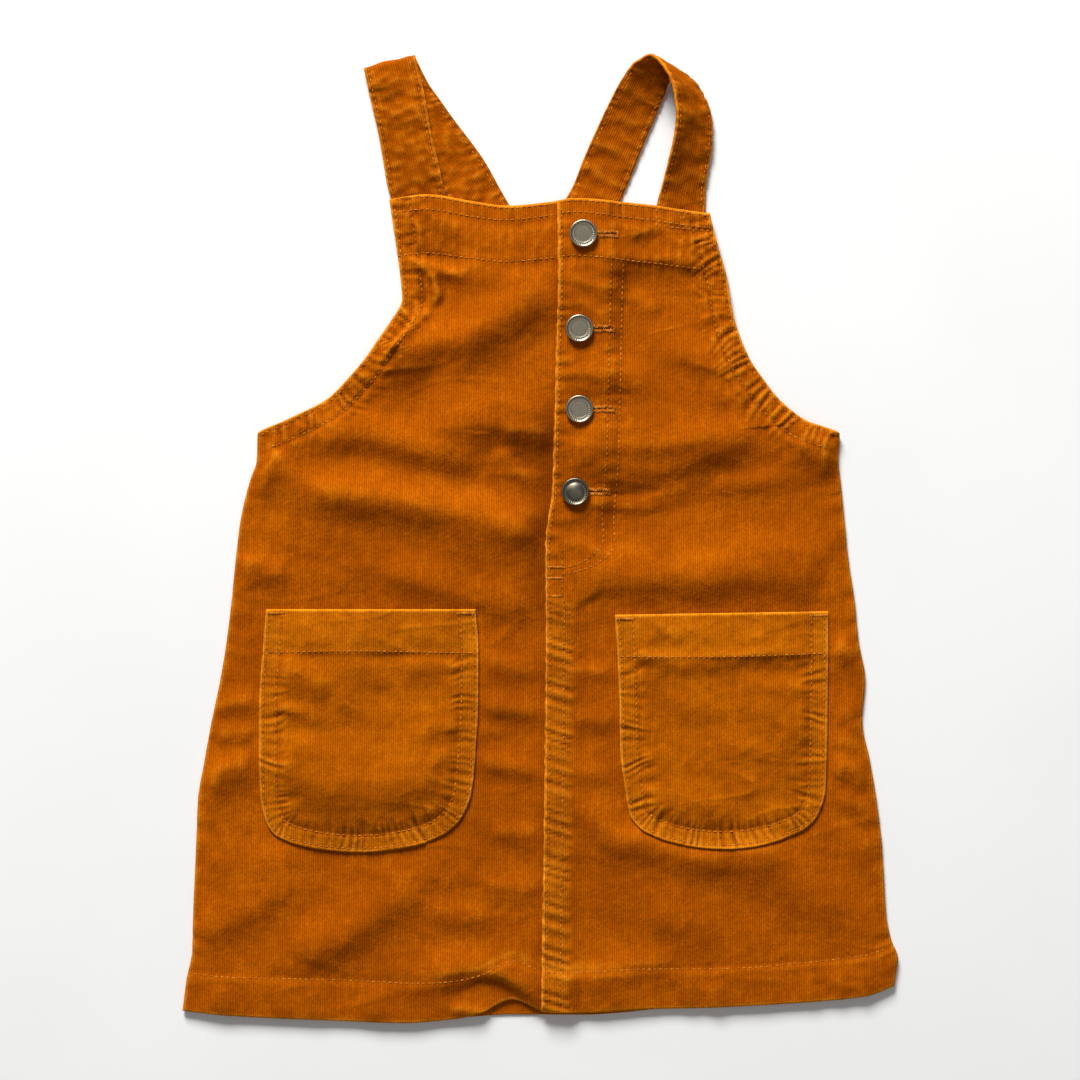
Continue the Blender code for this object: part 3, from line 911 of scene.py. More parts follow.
@dataclass
class Front:
    """The front as one surface: folds, seams and edges, shared by both halves and by the pockets."""

    depth: float = 2.0
    armhole_pitch: float = 4.3
    armhole_pucker: float = 1.3
    fell_pitch: float = 5.6
    fell_pucker: float = 1.5
    button_calm: float = 130.0
    buttons: list[Array] = field(default_factory=lambda: [button_place(node) for node in BUTTON_NODES])

    def spot(self, x: Array, y: Array) -> Spot:
        """Measures places against every edge of the front.

        Args:
            x: places across.
            y: places up.

        Returns:
            Their distances from the edges and seams.
        """
        x, y = np.asarray(x, float), np.asarray(y, float)
        height = CUT.nominal(x, y)
        armhole = np.full(x.shape, np.inf)
        along = np.zeros(x.shape)
        for side in Side:
            walked, aside, _ = nearest(CUT.armhole(side), x, y)
            closer = np.abs(aside) < armhole
            along = np.where(closer, walked + 500 * (side is Side.RIGHT), along)
            armhole = np.minimum(armhole, np.abs(aside))
        flank = np.minimum(x - CUT.side(Side.LEFT, height), CUT.side(Side.RIGHT, height) - x)
        return Spot(
            x,
            y,
            height,
            np.where(height < UNDERARM, flank, 99.0),
            armhole,
            along,
            curve(BIB_EDGE, x) - y,
            y - curve(FRONT_HEM, x),
            x - CUT.centre(height),
        )

    def wall(self, at: Spot, upper: bool) -> Array:
        """Thickness: two layers where an edge is turned in or a seam is felled.

        Args:
            at: the places.
            upper: whether it is the half that laps over the other.

        Returns:
            The wall.
        """
        bib = eased((CUT.bib_turning - at.bib) / 5 + 0.5)
        hem = eased((CUT.hem_turning - at.hem) / 4 + 0.5)
        armhole = eased((CUT.armhole_turning - at.armhole) / 3 + 0.5)
        turned = np.maximum.reduce([bib, hem, armhole])
        if upper:
            placket = eased((CUT.placket - at.centre) / 7 + 0.5) * eased((at.y - 5) / 14)
            fell = eased((11.5 - at.centre) / 2.0 + 0.5) * eased((PLACKET_END + 2 - at.y) / 4)
            turned = np.maximum.reduce([turned, placket, 0.8 * fell])
        return CUT.cloth + (CUT.turned - CUT.cloth) * turned

    def folds(self, at: Spot) -> Array:
        """All the large folds: calm at the outline, at the centre seam and under the buttons.

        Args:
            at: the places.

        Returns:
            The folds' height, never below 0.
        """
        small = 0.55 * wander(0.7 * at.x, at.y, 42, 3) + 0.26 * wander(0.5 * at.x, at.y, 19, 4)
        small = small + 0.07 * wander(0.7 * at.x, at.y, 9, 5)
        small = small + 0.45 * crumples(0.4 * at.x, at.y, 24, 6) + 0.16 * crumples(0.55 * at.x, at.y, 14, 8)
        total = CUT.puff + self.depth * relief(CREASES, at.x, at.y) + small
        calm = eased((at.side + 2) / 12) * (1 - 0.25 * bell(at.centre - 14, 12))
        calm = calm * eased((at.bib + 6) / 26) * eased((at.hem + 12) / 20)
        for x, y, _ in self.buttons:
            calm = calm * (1 - 0.85 * np.exp(-(((at.x - x) ** 2 + (at.y - y) ** 2) / self.button_calm)))
        lifted = total * calm
        return 0.5 * (lifted + np.sqrt(lifted**2 + 0.05))

    def puckers(self, at: Spot) -> Array:
        """Crosswise puckers that the seams draw in the cloth beside them.

        Args:
            at: the places.

        Returns:
            The puckers' height.
        """
        arm = band(at.armhole, 1.0, CUT.armhole_turning, 4.0)
        arm = arm + 0.45 * band(at.armhole, CUT.armhole_turning, 19, 8)
        lean = 0.32 * at.armhole * wander(at.x, at.y, 50, 27)
        rows = self.armhole_pucker * arm * gathers(at.along + lean, self.armhole_pitch, 11)
        rows = rows + 0.7 * bell(at.armhole - 13.5, 2.6) * (0.55 + 0.45 * ripple(at.along, 17, 12))
        rows = rows - 0.45 * bell(at.armhole - 10.8, 1.4) - 0.2 * bell(at.armhole - 2.1, 1.1)
        bib = 0.35 * band(at.bib, 1.5, 10, 4) * gathers(at.x, 6.3, 13) - 0.6 * bell(at.bib - 10.5, 2.2)
        under = 0.45 * bell(at.bib - 33, 6) * gathers(at.x, 8.5, 14) - 0.2 * bell(at.bib - 33.5, 2.4)
        hem = 0.3 * bell(at.hem - 21, 7) * gathers(at.x, 9.5, 15) - 0.25 * bell(at.hem - 22, 1.5)
        flank = 0.7 * bell(at.side, 8) * gathers(at.y + 0.4 * at.side, 13, 16)
        plain = 0.22 * band(at.bib, 11, 31, 6) * wander(at.x, 0.35 * at.y, 8, 26)
        close = bell(at.armhole, 20) + 0.5 * bell(at.bib - 18, 14)
        crumple = 0.30 * close * wander(at.x, at.y, 6.5, 23)
        return rows + bib + plain + under + hem + flank + crumple

    def centre_work(self, at: Spot) -> Array:
        """The sewn centre: puckers along the felled seam and soft grooves under the placket's rows.

        Args:
            at: the places.

        Returns:
            The height that they add.
        """
        below = eased((PLACKET_END - at.y) / 6)
        above = eased((at.y + 22) / 10)
        fell = self.fell_pucker * below * band(at.centre, -1, 15, 4)
        fell = fell * gathers(at.y + 0.3 * at.centre, self.fell_pitch, 17)
        grooves = -0.3 * below * (bell(at.centre - 2.6, 1.2) + bell(at.centre - 10, 1.2))
        placket = -0.09 * above * (bell(at.centre - 28.6, 1.2) + bell(at.centre - 35, 1.4))
        rows = 0.35 * above * band(at.centre, 24, 40, 6) * gathers(at.y, 7.9, 19)
        edge = above * 0.8 * bell(at.centre - 2, 6) * gathers(at.y, 7.3, 18)
        rows = rows + 0.16 * above * band(at.centre, 0, 34, 4) * wander(0.6 * at.x, at.y, 7, 24)
        return fell + grooves + (placket + rows) * eased((at.bib - 30) / 4) + edge

    def heights(self, at: Spot, upper: bool) -> tuple[Array, Array]:
        """Both sides of one half: what it rests on, the folds, the seams' work, and its wall.

        Args:
            at: the places.
            upper: whether it is the half that laps over the other.

        Returns:
            The upper and the under side.
        """
        base = CUT.rest(at.x, at.height) + self.folds(at)
        detail = self.puckers(at)
        if upper:
            on_lower = 1 - eased((at.x - CUT.stand_edge(at.height) - 1) / CUT.lap_slope)
            base = base + (self.wall(at, False) + CUT.lap_gap) * on_lower
            detail = detail + self.centre_work(at)
        return base + self.wall(at, upper) + np.maximum(detail, -1.0), base + np.maximum(detail, -0.5)

    def top(self, at: Spot, upper: bool | Array) -> Array:
        """The upper side of one half, or of whichever half shows."""
        return np.where(upper, self.heights(at, True)[0], self.heights(at, False)[0])

    def shown(self, x: Array, y: Array) -> Array:
        """Height of the surface that shows."""
        at = self.spot(x, y)
        return self.top(at, at.centre > 0)


def button_place(node: str) -> Array:
    """Centre of a button and the height of its foot, in millimetres."""
    low, high = (np.array(corner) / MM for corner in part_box(node))
    return np.array([(low[0] + high[0]) / 2, (low[1] + high[1]) / 2, low[2]])


FRONT = Front()


@dataclass
class FrontPanel:
    """One half of the front, from its side seam to the centre."""

    name: str
    node: str
    upper: bool
    cell: float = 1.56
    flat: tuple[float, float] = (0.215, 0.447)
    area: float = 0.070
    hole_rows: float = 0.35

    def rows(self) -> Array:
        """Nominal heights of the grid's rows, closer at both ends and across the buttonholes."""
        shares = spaced(490.0, self.cell)
        heights = CUT.rows(shares)
        if self.upper:
            steps = np.arange(-1.4, 1.41, self.hole_rows)
            middles = [float(CUT.nominal(np.array(x + 11), np.array(y))) for x, y, _ in FRONT.buttons]
            extra = [middle + steps for middle in middles]
            heights = np.sort(np.concatenate([heights, *extra]))
            heights = heights[np.concatenate([[True], np.diff(heights) > 0.12])]
        return heights

    def grid(self) -> tuple[Array, Array]:
        """Places of the grid: rows from the side to the free edge, bent near the hem and the bib's edge."""
        heights = self.rows()
        left, right = CUT.side(Side.LEFT, heights), CUT.side(Side.RIGHT, heights)
        low, high = (CUT.centre(heights), right) if self.upper else (left, CUT.stand_edge(heights))
        shares = spaced(186.0, self.cell)
        x = low[:, None] + (high - low)[:, None] * shares
        return x, CUT.real(x, heights[:, None] + 0 * x)

    def buttonholes(self, at: Spot) -> Array:
        """Grooves of the buttonholes: a narrow dip with raised sewn sides, one beside each button.

        Args:
            at: the places.

        Returns:
            The height that they add.
        """
        total = np.zeros(at.x.shape)
        for x, y, _ in FRONT.buttons:
            span = eased((at.x - x - 3) / 2) * eased((x + 17.5 - at.x) / 1.5)
            off = (at.y - y) / 0.5
            total = total + span * (0.35 * bell(off, 3.6) - 0.5 * bell(off, 1.0))
        return total

    def build(self) -> bpy.types.Object:
        """The half's mesh: top and under side from the front's own heights, with bull-nosed edges."""
        x, y = self.grid()
        at = FRONT.spot(x, y)
        top, under = FRONT.heights(at, self.upper)
        free = np.minimum.reduce([at.armhole, np.maximum(at.bib, 0), np.maximum(at.hem, 0)])
        edge_in = at.centre if self.upper else CUT.stand_edge(at.height) - at.x
        free = np.minimum(free, np.maximum(edge_in, 0))
        sewn = eased((3.4 - at.side) / 1.4)
        under = under * (1 - sewn) + 0.12 * sewn
        share = np.minimum(bull_nose(free, 1.25), bull_nose(np.maximum(at.side, 0), 2.4))
        top, under = nosed(top, under, share)
        if self.upper:
            top = top + self.buttonholes(at)
        masks = self.masks(at, bends(top, x, y))
        return walled(self.name, x, y, top, np.minimum(under, top - THINNEST), masks)

    def masks(self, at: Spot, bend: Array) -> dict[str, Array]:
        """Where the half is worn, where painted highlight lightens its crests, and where painted shade
        darkens it.

        Args:
            at: the places.
            bend: how strongly the upper side bends there.

        Returns:
            Wear along edges and seams plus painted highlight on crests, and painted shade in hollows and
            beside the free edge.
        """
        worn = 0.8 * bell(at.armhole, 1.0) + 0.6 * bell(at.bib, 1.0) + 0.4 * bell(at.hem, 1.2)
        near = bell(at.x + 2, 55) * (0.7 + 0.5 * wander(at.x, 0 * at.y, 9, 33))
        worn = worn + 0.42 * bell(at.hem - 24.5, 2.4) * np.clip(near, 0, 1)
        if self.upper:
            uneven = 0.75 + 0.35 * wander(0 * at.x, at.y, 11, 31)
            worn = worn + uneven * bell(at.centre, 1.1)
            worn = worn + 0.20 * eased((PLACKET_END - at.y) / 6) * band(at.centre, 0.5, 14, 3)
        # Painted shadow on the lower half: a dark strip along the upper half's free edge, widest between y
        # -35 and 68.
        deep = band(at.y, -35, 68, 24)
        beside = (0.3 + 0.6 * deep) * bell(at.centre + 1, 2 + 8 * deep) * (not self.upper)
        # The first mask is wear plus painted highlight on crests; the second is painted shade in hollows and
        # in that strip.
        return {
            "wear_and_highlight": np.clip(worn + np.clip(-bend * 1.1 - 0.05, 0, 0.5), 0, 1),
            "painted_shade": np.clip(beside + np.clip(bend * 1.5 - 0.05, 0, 1), 0, 1),
        }

    def make(self, finishes: Finishes) -> None:
        """Builds the half, sews it and dresses both."""
        cloth = self.build()
        thread = Thread(f"{self.node}_stitches")
        work = Topstitching()
        work.half(thread, Side.RIGHT if self.upper else Side.LEFT)
        if self.upper:
            work.centre(thread)
            work.buttonholes(thread)
        sewn = thread.build()
        dress(cloth, finishes.body, [self.node])
        dress(sewn, finishes.thread)


@dataclass
class BackPanel:
    """The back, flat on the surface, whose edges lie just inside the front's."""

    name: str = "back_cloth"
    node: str = "back_panel"
    cell: float = 2.6
    wall: float = 1.15
    inset: float = 3.8
    top_inset: float = 1.5
    flat: tuple[float, float] = (0.405, 0.365)
    area: float = 0.118

    def build(self) -> bpy.types.Object:
        """The back's mesh: flat below, and a little uneven above."""
        below = [row for row in FRONT_SECTIONS if row.height < UNDERARM]
        sections = [Section(row.height, row.left + self.inset, row.right - self.inset) for row in below]
        gap = self.top_inset
        sections += [Section(row.height, row.left + gap, row.right - gap) for row in BACK_TOP]
        heights = CUT.rows(spaced(360.0, self.cell))
        reach = sections[-1].height
        heights = HEM + (heights - HEM) * (reach - HEM) / (heights[-1] - HEM)
        left = curve([Knot(s.height, s.left) for s in sections], heights)
        right = curve([Knot(s.height, s.right) for s in sections], heights)
        shares = spaced(370.0, self.cell)
        x = left[:, None] + (right - left)[:, None] * shares
        y = CUT.real(x, heights[:, None] + 0 * x, BACK_HEM, bib=False)
        beside = np.minimum(x - left[:, None], right[:, None] - x)
        edge = np.minimum.reduce([beside, y - curve(BACK_HEM, x), (reach - heights)[:, None] + 0 * x])
        lift = 0.10 + 0.10 * wander(x, y, 38, 21) * eased(edge / 12)
        under = np.maximum(lift, 0.0)
        top = under + self.wall + 0.08 * wander(x, y, 9, 22) * eased(edge / 8)
        share = bull_nose(np.maximum(edge, 0), 0.7)
        top, under = nosed(top, under, share)
        # The first mask is wear along the edges; the second is painted shade in the hollows.
        masks = {"wear_and_highlight": 0.4 * bell(edge, 1.6), "painted_shade": np.clip(bends(top, x, y) * 2, 0, 1)}
        return walled(self.name, x, y, top, np.minimum(under, top - THINNEST), masks)

    def make(self, finishes: Finishes) -> None:
        """Builds the back and dresses it."""
        cloth = self.build()
        dress(cloth, finishes.body, [self.node])


POCKET_LEFT = (
    Section(-38, -147.5, -34.5),
    Section(-61, -149.4, -32.8),
    Section(-87, -151.2, -33.0),
    Section(-114, -151.2, -34.4),
    Section(-137, -150.8, -36.8),
    Section(-151, -148.2, -42.6),
    Section(-159, -143.6, -51.0),
    Section(-164, -134.0, -62.0),
)
POCKET_RIGHT = (
    Section(-41, 40.2, 155.2),
    Section(-63, 41.6, 155.2),
    Section(-87, 42.6, 155.0),
    Section(-114, 43.2, 154.6),
    Section(-136, 45.8, 153.8),
    Section(-149, 48.4, 149.6),
    Section(-157, 55.0, 142.0),
    Section(-162, 66.0, 130.0),
)
POCKET_LEFT_CREASES = (
    crease(1.5, 8, 13, (-147, -68), (-128, -74), (-110, -84)),
    crease(1.1, 5, 5, (-149, -90), (-132, -93), (-112, -98)),
    crease(1.2, 6, 6, (-70, -106), (-54, -102), (-36, -100)),
    crease(0.9, 5, 5, (-62, -119), (-38, -118)),
    crease(1.0, 4, 6, (-74, -68), (-56, -67), (-36, -70)),
    crease(
        2.0, 20, 13, (-148, -115), (-134, -121), (-120, -132), (-100, -137), (-84, -136),
        (-70, -131), (-48, -138),
    ),
    crease(0.8, 8, 6, (-126, -112), (-104, -118), (-84, -116)),
    crease(0.4, 4, 4, (-126, -40), (-124, -60)),
    crease(0.4, 4, 4, (-96, -40), (-97, -60)),
    crease(0.5, 4, 4, (-54, -40), (-52, -60)),
)
POCKET_RIGHT_CREASES = (
    crease(1.3, 4, 6, (42, -61), (70, -65), (100, -64), (136, -59)),
    crease(0.7, 4, 4, (60, -43), (68, -50), (76, -58)),
    crease(1.2, 6, 6, (104, -76), (124, -80), (152, -78)),
    crease(1.0, 10, 12, (112, -90), (130, -94), (152, -98)),
    crease(0.9, 15, 10, (52, -132), (72, -141), (96, -142), (112, -135), (126, -124)),
    crease(0.7, 8, 6, (98, -110), (122, -114), (142, -108)),
    crease(0.5, 6, 5, (50, -100), (66, -106)),
    crease(0.4, 4, 4, (120, -44), (118, -58)),
)


@dataclass
class PatchPocket:
    """A patch pocket: a thick band along its mouth, sides and a round foot sewn down, a full bag between."""

    name: str
    node: str
    front: str
    sections: tuple[Section, ...]
    creases: tuple[Crease, ...]
    seed: int
    cell: float = 0.88
    cloth: float = 1.1
    turned: float = 1.7
    band_depth: float = 24.0
    sag: float = 5.0
    gap: float = 0.15
    belly: float = 2.1
    border: float = 9.2
    pucker: float = 0.75
    pitch: float = 4.9
    tilt: float = 0.0
    sink: float = 0.25
    flat: tuple[float, float] = (0.120, 0.132)
    area: float = 0.0142

    def grid(self) -> tuple[Array, Array]:
        """Places of the grid: rows between both sides, the lowest ones sagging to the round foot."""
        top, bottom = self.sections[0].height, self.sections[-1].height
        v = spaced(128.0, self.cell)[:, None] ** 1.2
        u = spaced(112.0, self.cell)[None, :]
        height = bottom + (top - bottom) * v
        rows = self.sections[::-1]
        left = curve([Knot(s.height, s.left) for s in rows], height)
        right = curve([Knot(s.height, s.right) for s in rows], height)
        x = left + (right - left) * u
        foot = (1 - eased((height - bottom) / 22)) * (1 - (2 * u - 1) ** 2)
        return x, height - self.sag * foot + self.tilt * u * eased((height - bottom) / (top - bottom))

    def mouth(self, x: Array) -> Array:
        """Height of the mouth's edge."""
        first = self.sections[0]
        return first.height + self.tilt * np.clip((x - first.left) / (first.right - first.left), 0, 1)

    def edge_path(self, x: Array, y: Array) -> Array:
        """The sewn edge: down the left side, round the foot and up the right side."""
        sides = [np.column_stack([x[::-3, 0], y[::-3, 0]]), np.column_stack([x[0, 3:-3:3], y[0, 3:-3:3]])]
        return np.concatenate([*sides, np.column_stack([x[::3, -1], y[::3, -1]])])

    def surface(self, x: Array, y: Array, path: Array) -> tuple[Array, Array, Array, Array]:
        """Heights of the pocket over the front.

        Args:
            x: places across.
            y: places up.
            path: its sewn edge.

        Returns:
            Top, under side, distance from the sewn edge and distance from the mouth.
        """
        along, aside, _ = nearest(path, x, y)
        edge = np.abs(aside)
        mouth = self.mouth(x) - y
        inside = eased((edge - 4) / 12)
        full = self.belly * inside * eased((mouth + 14) / 30)
        folds = 1.9 * relief(self.creases, x, y) + 0.42 * wander(0.7 * x, y, 21, self.seed)
        folds = folds + 0.14 * wander(0.7 * x, y, 8, self.seed + 1)
        below = eased((mouth - self.band_depth + 4) / 8) * 0.75 + 0.25
        lean = wander(x, y, 46, self.seed + 5)
        draw = band(edge, 0.8, self.border + 5, 7) * self.pucker
        draw = draw * gathers(along + 0.34 * edge * lean, self.pitch, self.seed + 2)
        draw = draw * (0.8 + 0.4 * wander(x, y, 26, self.seed + 6))
        ray = 0.5 * bell(edge - 14, 6) * gathers(along, 12, self.seed + 3)
        draw, ray = draw * below, ray * below
        foot = eased((self.sections[-1].height + 34 - y) / 16)
        rows = -(0.25 + 0.35 * foot) * bell(edge - self.border, 1.3) - 0.2 * bell(edge - 2.2, 0.9)
        hem_row = -0.12 * bell(mouth - self.band_depth - 1.2, 2.0)
        wall = self.cloth + (self.turned - self.cloth) * np.maximum(
            eased((self.band_depth - mouth) / 3.0 + 0.5), eased((self.border + 0.6 - edge) / 1.8 + 0.5)
        )
        base = FRONT.shown(x, y) + self.gap
        lifted = base + full + np.maximum(folds * (0.3 + 0.7 * inside), -0.8 * inside)
        detail = draw + ray + rows + hem_row
        return lifted + wall + np.maximum(detail, -1.0), lifted + np.maximum(detail, -0.15), edge, mouth

    def build(self) -> bpy.types.Object:
        """The pocket's mesh."""
        x, y = self.grid()
        path = self.edge_path(x, y)
        top, under, edge, mouth = self.surface(x, y, path)
        share = bull_nose(np.minimum(edge, np.maximum(mouth, 0)), 1.15)
        top, under = nosed(top, under, share, self.sink)
        bend = bends(top, x, y)
        worn = 0.6 * bell(edge, 0.9) + 0.5 * bell(mouth, 0.9) + 0.10 * band(mouth, 0, 23, 2)
        worn = worn + 0.12 * eased((self.border - edge) / 2)
        # The first mask is wear along the sewn edge and mouth, lighter over the band and the border, plus
        # painted highlight on crests; the second is painted shade in hollows.
        masks = {
            "wear_and_highlight": np.clip(worn + np.clip(-bend * 0.9 - 0.05, 0, 0.5), 0, 1),
            "painted_shade": np.clip(bend * 1.0 - 0.05, 0, 1),
        }
        return walled(self.name, x, y, top, np.minimum(under, top - THINNEST), masks)

    def sew(self, thread: Thread) -> None:
        """Both rows round the sides and foot, the row under the band, and the tacks at the mouth's corners.

        Args:
            thread: where the stitches go.
        """
        x, y = self.grid()
        path = self.edge_path(x, y)
        inward = left_of(path)
        lines = []
        for inset in (2.2, self.border):
            line = smooth_path(path + inward * inset, 1.2)
            lines.append(line[line[:, 1] < self.mouth(line[:, 0]) - 1.2])
        first, second = self.sections[0], self.sections[1]
        across = np.arange((first.left + second.left) / 2 + 2, (first.right + second.right) / 2 - 1.9, 1.2)
        height = self.mouth(across) - self.band_depth + 1.0 + 0.5 * np.sin(across / 21)
        lines.append(np.column_stack([across, height]))
        for start in (first.left + 1.2, first.right - self.border - 0.8):
            bar = start + np.arange(0, self.border, 0.55)
            places = np.column_stack([bar, self.mouth(bar) - 2.3])
            z = self.surface(places[:, 0], places[:, 1], path)[0]
            thread.add(np.column_stack([places, z + 0.1]), np.tile((0.25, 1.0, 0.0), (len(bar), 1)), 0.8)
        for number, line in enumerate(lines):
            z = self.surface(line[:, 0], line[:, 1], path)[0]
            thread.run(np.column_stack([line, z]), number)

    def make(self, finishes: Finishes) -> None:
        """Builds the pocket, sews it and dresses both."""
        cloth = self.build()
        thread = Thread(f"{self.node}_stitches")
        self.sew(thread)
        sewn = thread.build()
        dress(cloth, finishes.pocket, [self.node])
        dress(sewn, finishes.thread)


@dataclass
class Strap:
    """A flat strap through stations, thick at its turned edges, with soft cross wrinkles."""

    name: str
    node: str
    rows: Array
    seed: int
    thickness: float = 2.1
    nose: float = 1.0
    wrinkle: float = 0.75
    row_inset: float = 2.4
    flat: tuple[float, float] = (0.029, 0.345)
    columns: int = 34
    floor_gap: float = 0.03
    thread_gap: float = 0.28

    def frame_of(self) -> tuple[Array, Array, Array, Array]:
        """The rows: middles, vectors from edge to edge, unit normals of the outer face, and walked length."""
        left, right = self.rows[:, :3], self.rows[:, 3:]
        across = right - left
        middle = (left + right) / 2
        walked = paced(middle)
        tangent = np.gradient(middle, axis=0)
        normal = np.cross(across, tangent)
        normal /= np.linalg.norm(normal, axis=1)[:, None]
        return middle, across, normal, walked

    def offsets(self, c: Array, along: Array, width: Array) -> tuple[Array, Array]:
        """How far the strap's middle surface is displaced along its normal, and half its thickness.

        Args:
            c: share across from -1 to 1.
            along: walked length.
            width: the strap's width there.

        Returns:
            Displacement and half thickness.
        """
        edge = (1 - np.abs(c)) * width / 2
        shift = c * width / 2
        along, shift = np.broadcast_arrays(along, shift)
        wave = wander(0.5 * shift, along, 15, self.seed) + 0.45 * wander(0.6 * shift, along, 6, self.seed + 1)
        sides = 0.5 * bell(edge, 5.5) * gathers(along + 3 * np.sign(c), 5.3, self.seed + 2)
        groove = 0.22 * bell(edge - self.row_inset, 0.9)
        puff = 0.16 * band(edge, self.row_inset, 40, 3)
        half = (self.thickness / 2 - groove + puff) * bull_nose(edge, self.nose)
        return self.wrinkle * wave * eased(edge / 3 + 0.3) + sides, half

    def build(self) -> bpy.types.Object:
        """The strap's mesh: its section goes round each row, and both ends are closed."""
        middle, across, normal, walked = self.frame_of()
        width = np.linalg.norm(across, axis=1)[:, None]
        ends = np.array([0.0, 0.012, 0.035, 0.07, 0.12])
        middles = np.linspace(0.165, 0.835, self.columns - 2 * len(ends))
        share = np.concatenate([ends, middles, 1 - ends[::-1]])
        c = (2 * share - 1)[None, :]
        shift, half = self.offsets(c, walked[:, None], width)
        base = middle[:, None] + across[:, None] * (c / 2)[..., None]
        outer = base + normal[:, None] * (shift + half)[..., None]
        inner = base + normal[:, None] * (shift - half)[..., None]
        loop = np.concatenate([outer, inner[:, -2:0:-1]], axis=1)
        loop[..., 2] = np.maximum(loop[..., 2], self.floor_gap)
        around = np.concatenate([c, c[:, -2:0:-1]], axis=1)
        rows, columns = loop.shape[:2]
        index = np.arange(rows * columns).reshape(rows, columns)
        faces = [*tube_faces(rows, columns).tolist(), index[0].tolist(), index[-1, ::-1].tolist()]
        uv = np.stack([around * width / 2, np.broadcast_to(walked[:, None], (rows, columns))], axis=-1)
        edge = (1 - np.abs(around)) * width / 2
        bend = sum(np.gradient(np.gradient(shift + half, axis=axis), axis=axis) for axis in (1, 0))
        bend = np.concatenate([bend, -bend[:, -2:0:-1]], axis=1)
        # The first mask is wear along both edges plus painted highlight on wrinkle crests; the second is
        # painted shade in their hollows.
        masks = {
            "wear_and_highlight": np.clip(bell(edge, 0.9) * 0.7 + np.clip(-bend * 2, 0, 0.4), 0, 1).ravel(),
            "painted_shade": np.clip(bend * 2.2, 0, 1).ravel(),
        }
        return cloth_object(self.name, loop.reshape(-1, 3), faces, uv.reshape(-1, 2), masks)

    def sew(self, thread: Thread) -> None:
        """A row along each edge, on both faces."""
        middle, across, normal, walked = self.frame_of()
        width = np.linalg.norm(across, axis=1)
        for number, side in enumerate((-1, 1)):
            c = side * (1 - 2 * self.row_inset / width)
            shift, half = self.offsets(c, walked, width)
            for face in (1, -1):
                line = middle + across * (c / 2)[:, None] + normal * (shift + face * half)[:, None]
                line[:, 2] = np.maximum(line[:, 2], self.thread_gap)
                thread.run(line, 40 + number)

    def make(self, finishes: Finishes) -> None:
        """Builds the strap, sews it and dresses both."""
        cloth = self.build()
        thread = Thread(f"{self.node}_stitches")
        self.sew(thread)
        sewn = thread.build()
        dress(cloth, finishes.strap, [self.node])
        dress(sewn, finishes.thread)


def strap_rows(stations: Sequence[Station]) -> Array:
    """Rows of a strap, about 1 mm apart: smooth along both edges, paced by the walked length of the middle.

    Args:
        stations: both edges at a few places.

    Returns:
        A row of six numbers for each place.
    """
    knots = np.array(stations, float)
    return through(knots, paced((knots[:, :3] + knots[:, 3:]) / 2), 1.0)


def pressed_fold(before: Station, after: Station, steps: int = 14) -> Array:
    """Rows round a pressed fold: a half circle about the line where the strap turns over.

    Args:
        before: the last station above.
        after: the first station below.
        steps: cells round the fold.

    Returns:
        The rows between the two.
    """
    left, right = np.array(before[:3]), np.array(before[3:])
    line = (right - left) / np.linalg.norm(right - left)
    out = np.array([-line[1], line[0], 0.0])
    angle = (np.pi * np.arange(1, steps) / steps)[:, None]
    sides = []
    radii = ((before.left_z - after.left_z) / 2, (before.right_z - after.right_z) / 2)
    for place, radius in zip((left, right), radii):
        drop = np.array([0, 0, radius]) * (1 - np.cos(angle))
        sides.append(place + out * 1.25 * radius * np.sin(angle) - drop)
    return np.concatenate(sides, axis=1)


LEFT_STRAP_FRONT = (
    Station(-77.0, 167.0, 1.2, -49.0, 168.5, 1.2),
    Station(-79.8, 181.0, 1.3, -50.5, 183.5, 1.35),
    Station(-82.4, 190.5, 2.3, -52.4, 191.5, 3.4),
    Station(-84.0, 200.0, 3.0, -54.3, 201.0, 3.7),
    Station(-87.5, 220.0, 3.5, -58.6, 220.0, 3.8),
    Station(-91.5, 237.0, 3.7, -62.1, 239.0, 3.9),
    Station(-94.5, 251.0, 4.0, -66.7, 258.4, 4.0),
)
LEFT_STRAP_BACK = (
    Station(-94.5, 251.0, 1.2, -66.7, 258.4, 1.2),
    Station(-90.7, 242.2, 1.2, -61.0, 247.0, 1.2),
    Station(-82.0, 228.7, 1.2, -54.0, 236.8, 1.2),
    Station(-69.4, 209.4, 1.2, -45.6, 225.0, 1.2),
    Station(-54.8, 189.9, 1.2, -31.1, 205.5, 1.2),
    Station(-40.7, 165.3, 1.2, -17.0, 180.8, 1.2),
    Station(-26.5, 143.9, 1.2, -2.7, 159.6, 1.2),
    Station(-11.9, 121.2, 1.2, 11.9, 136.9, 1.2),
    Station(3.2, 98.0, 1.3, 27.0, 113.7, 1.2),
    Station(13.5, 82.4, 2.75, 37.3, 98.0, 2.6),
    Station(26.5, 62.9, 2.7, 50.2, 78.0, 2.7),
)
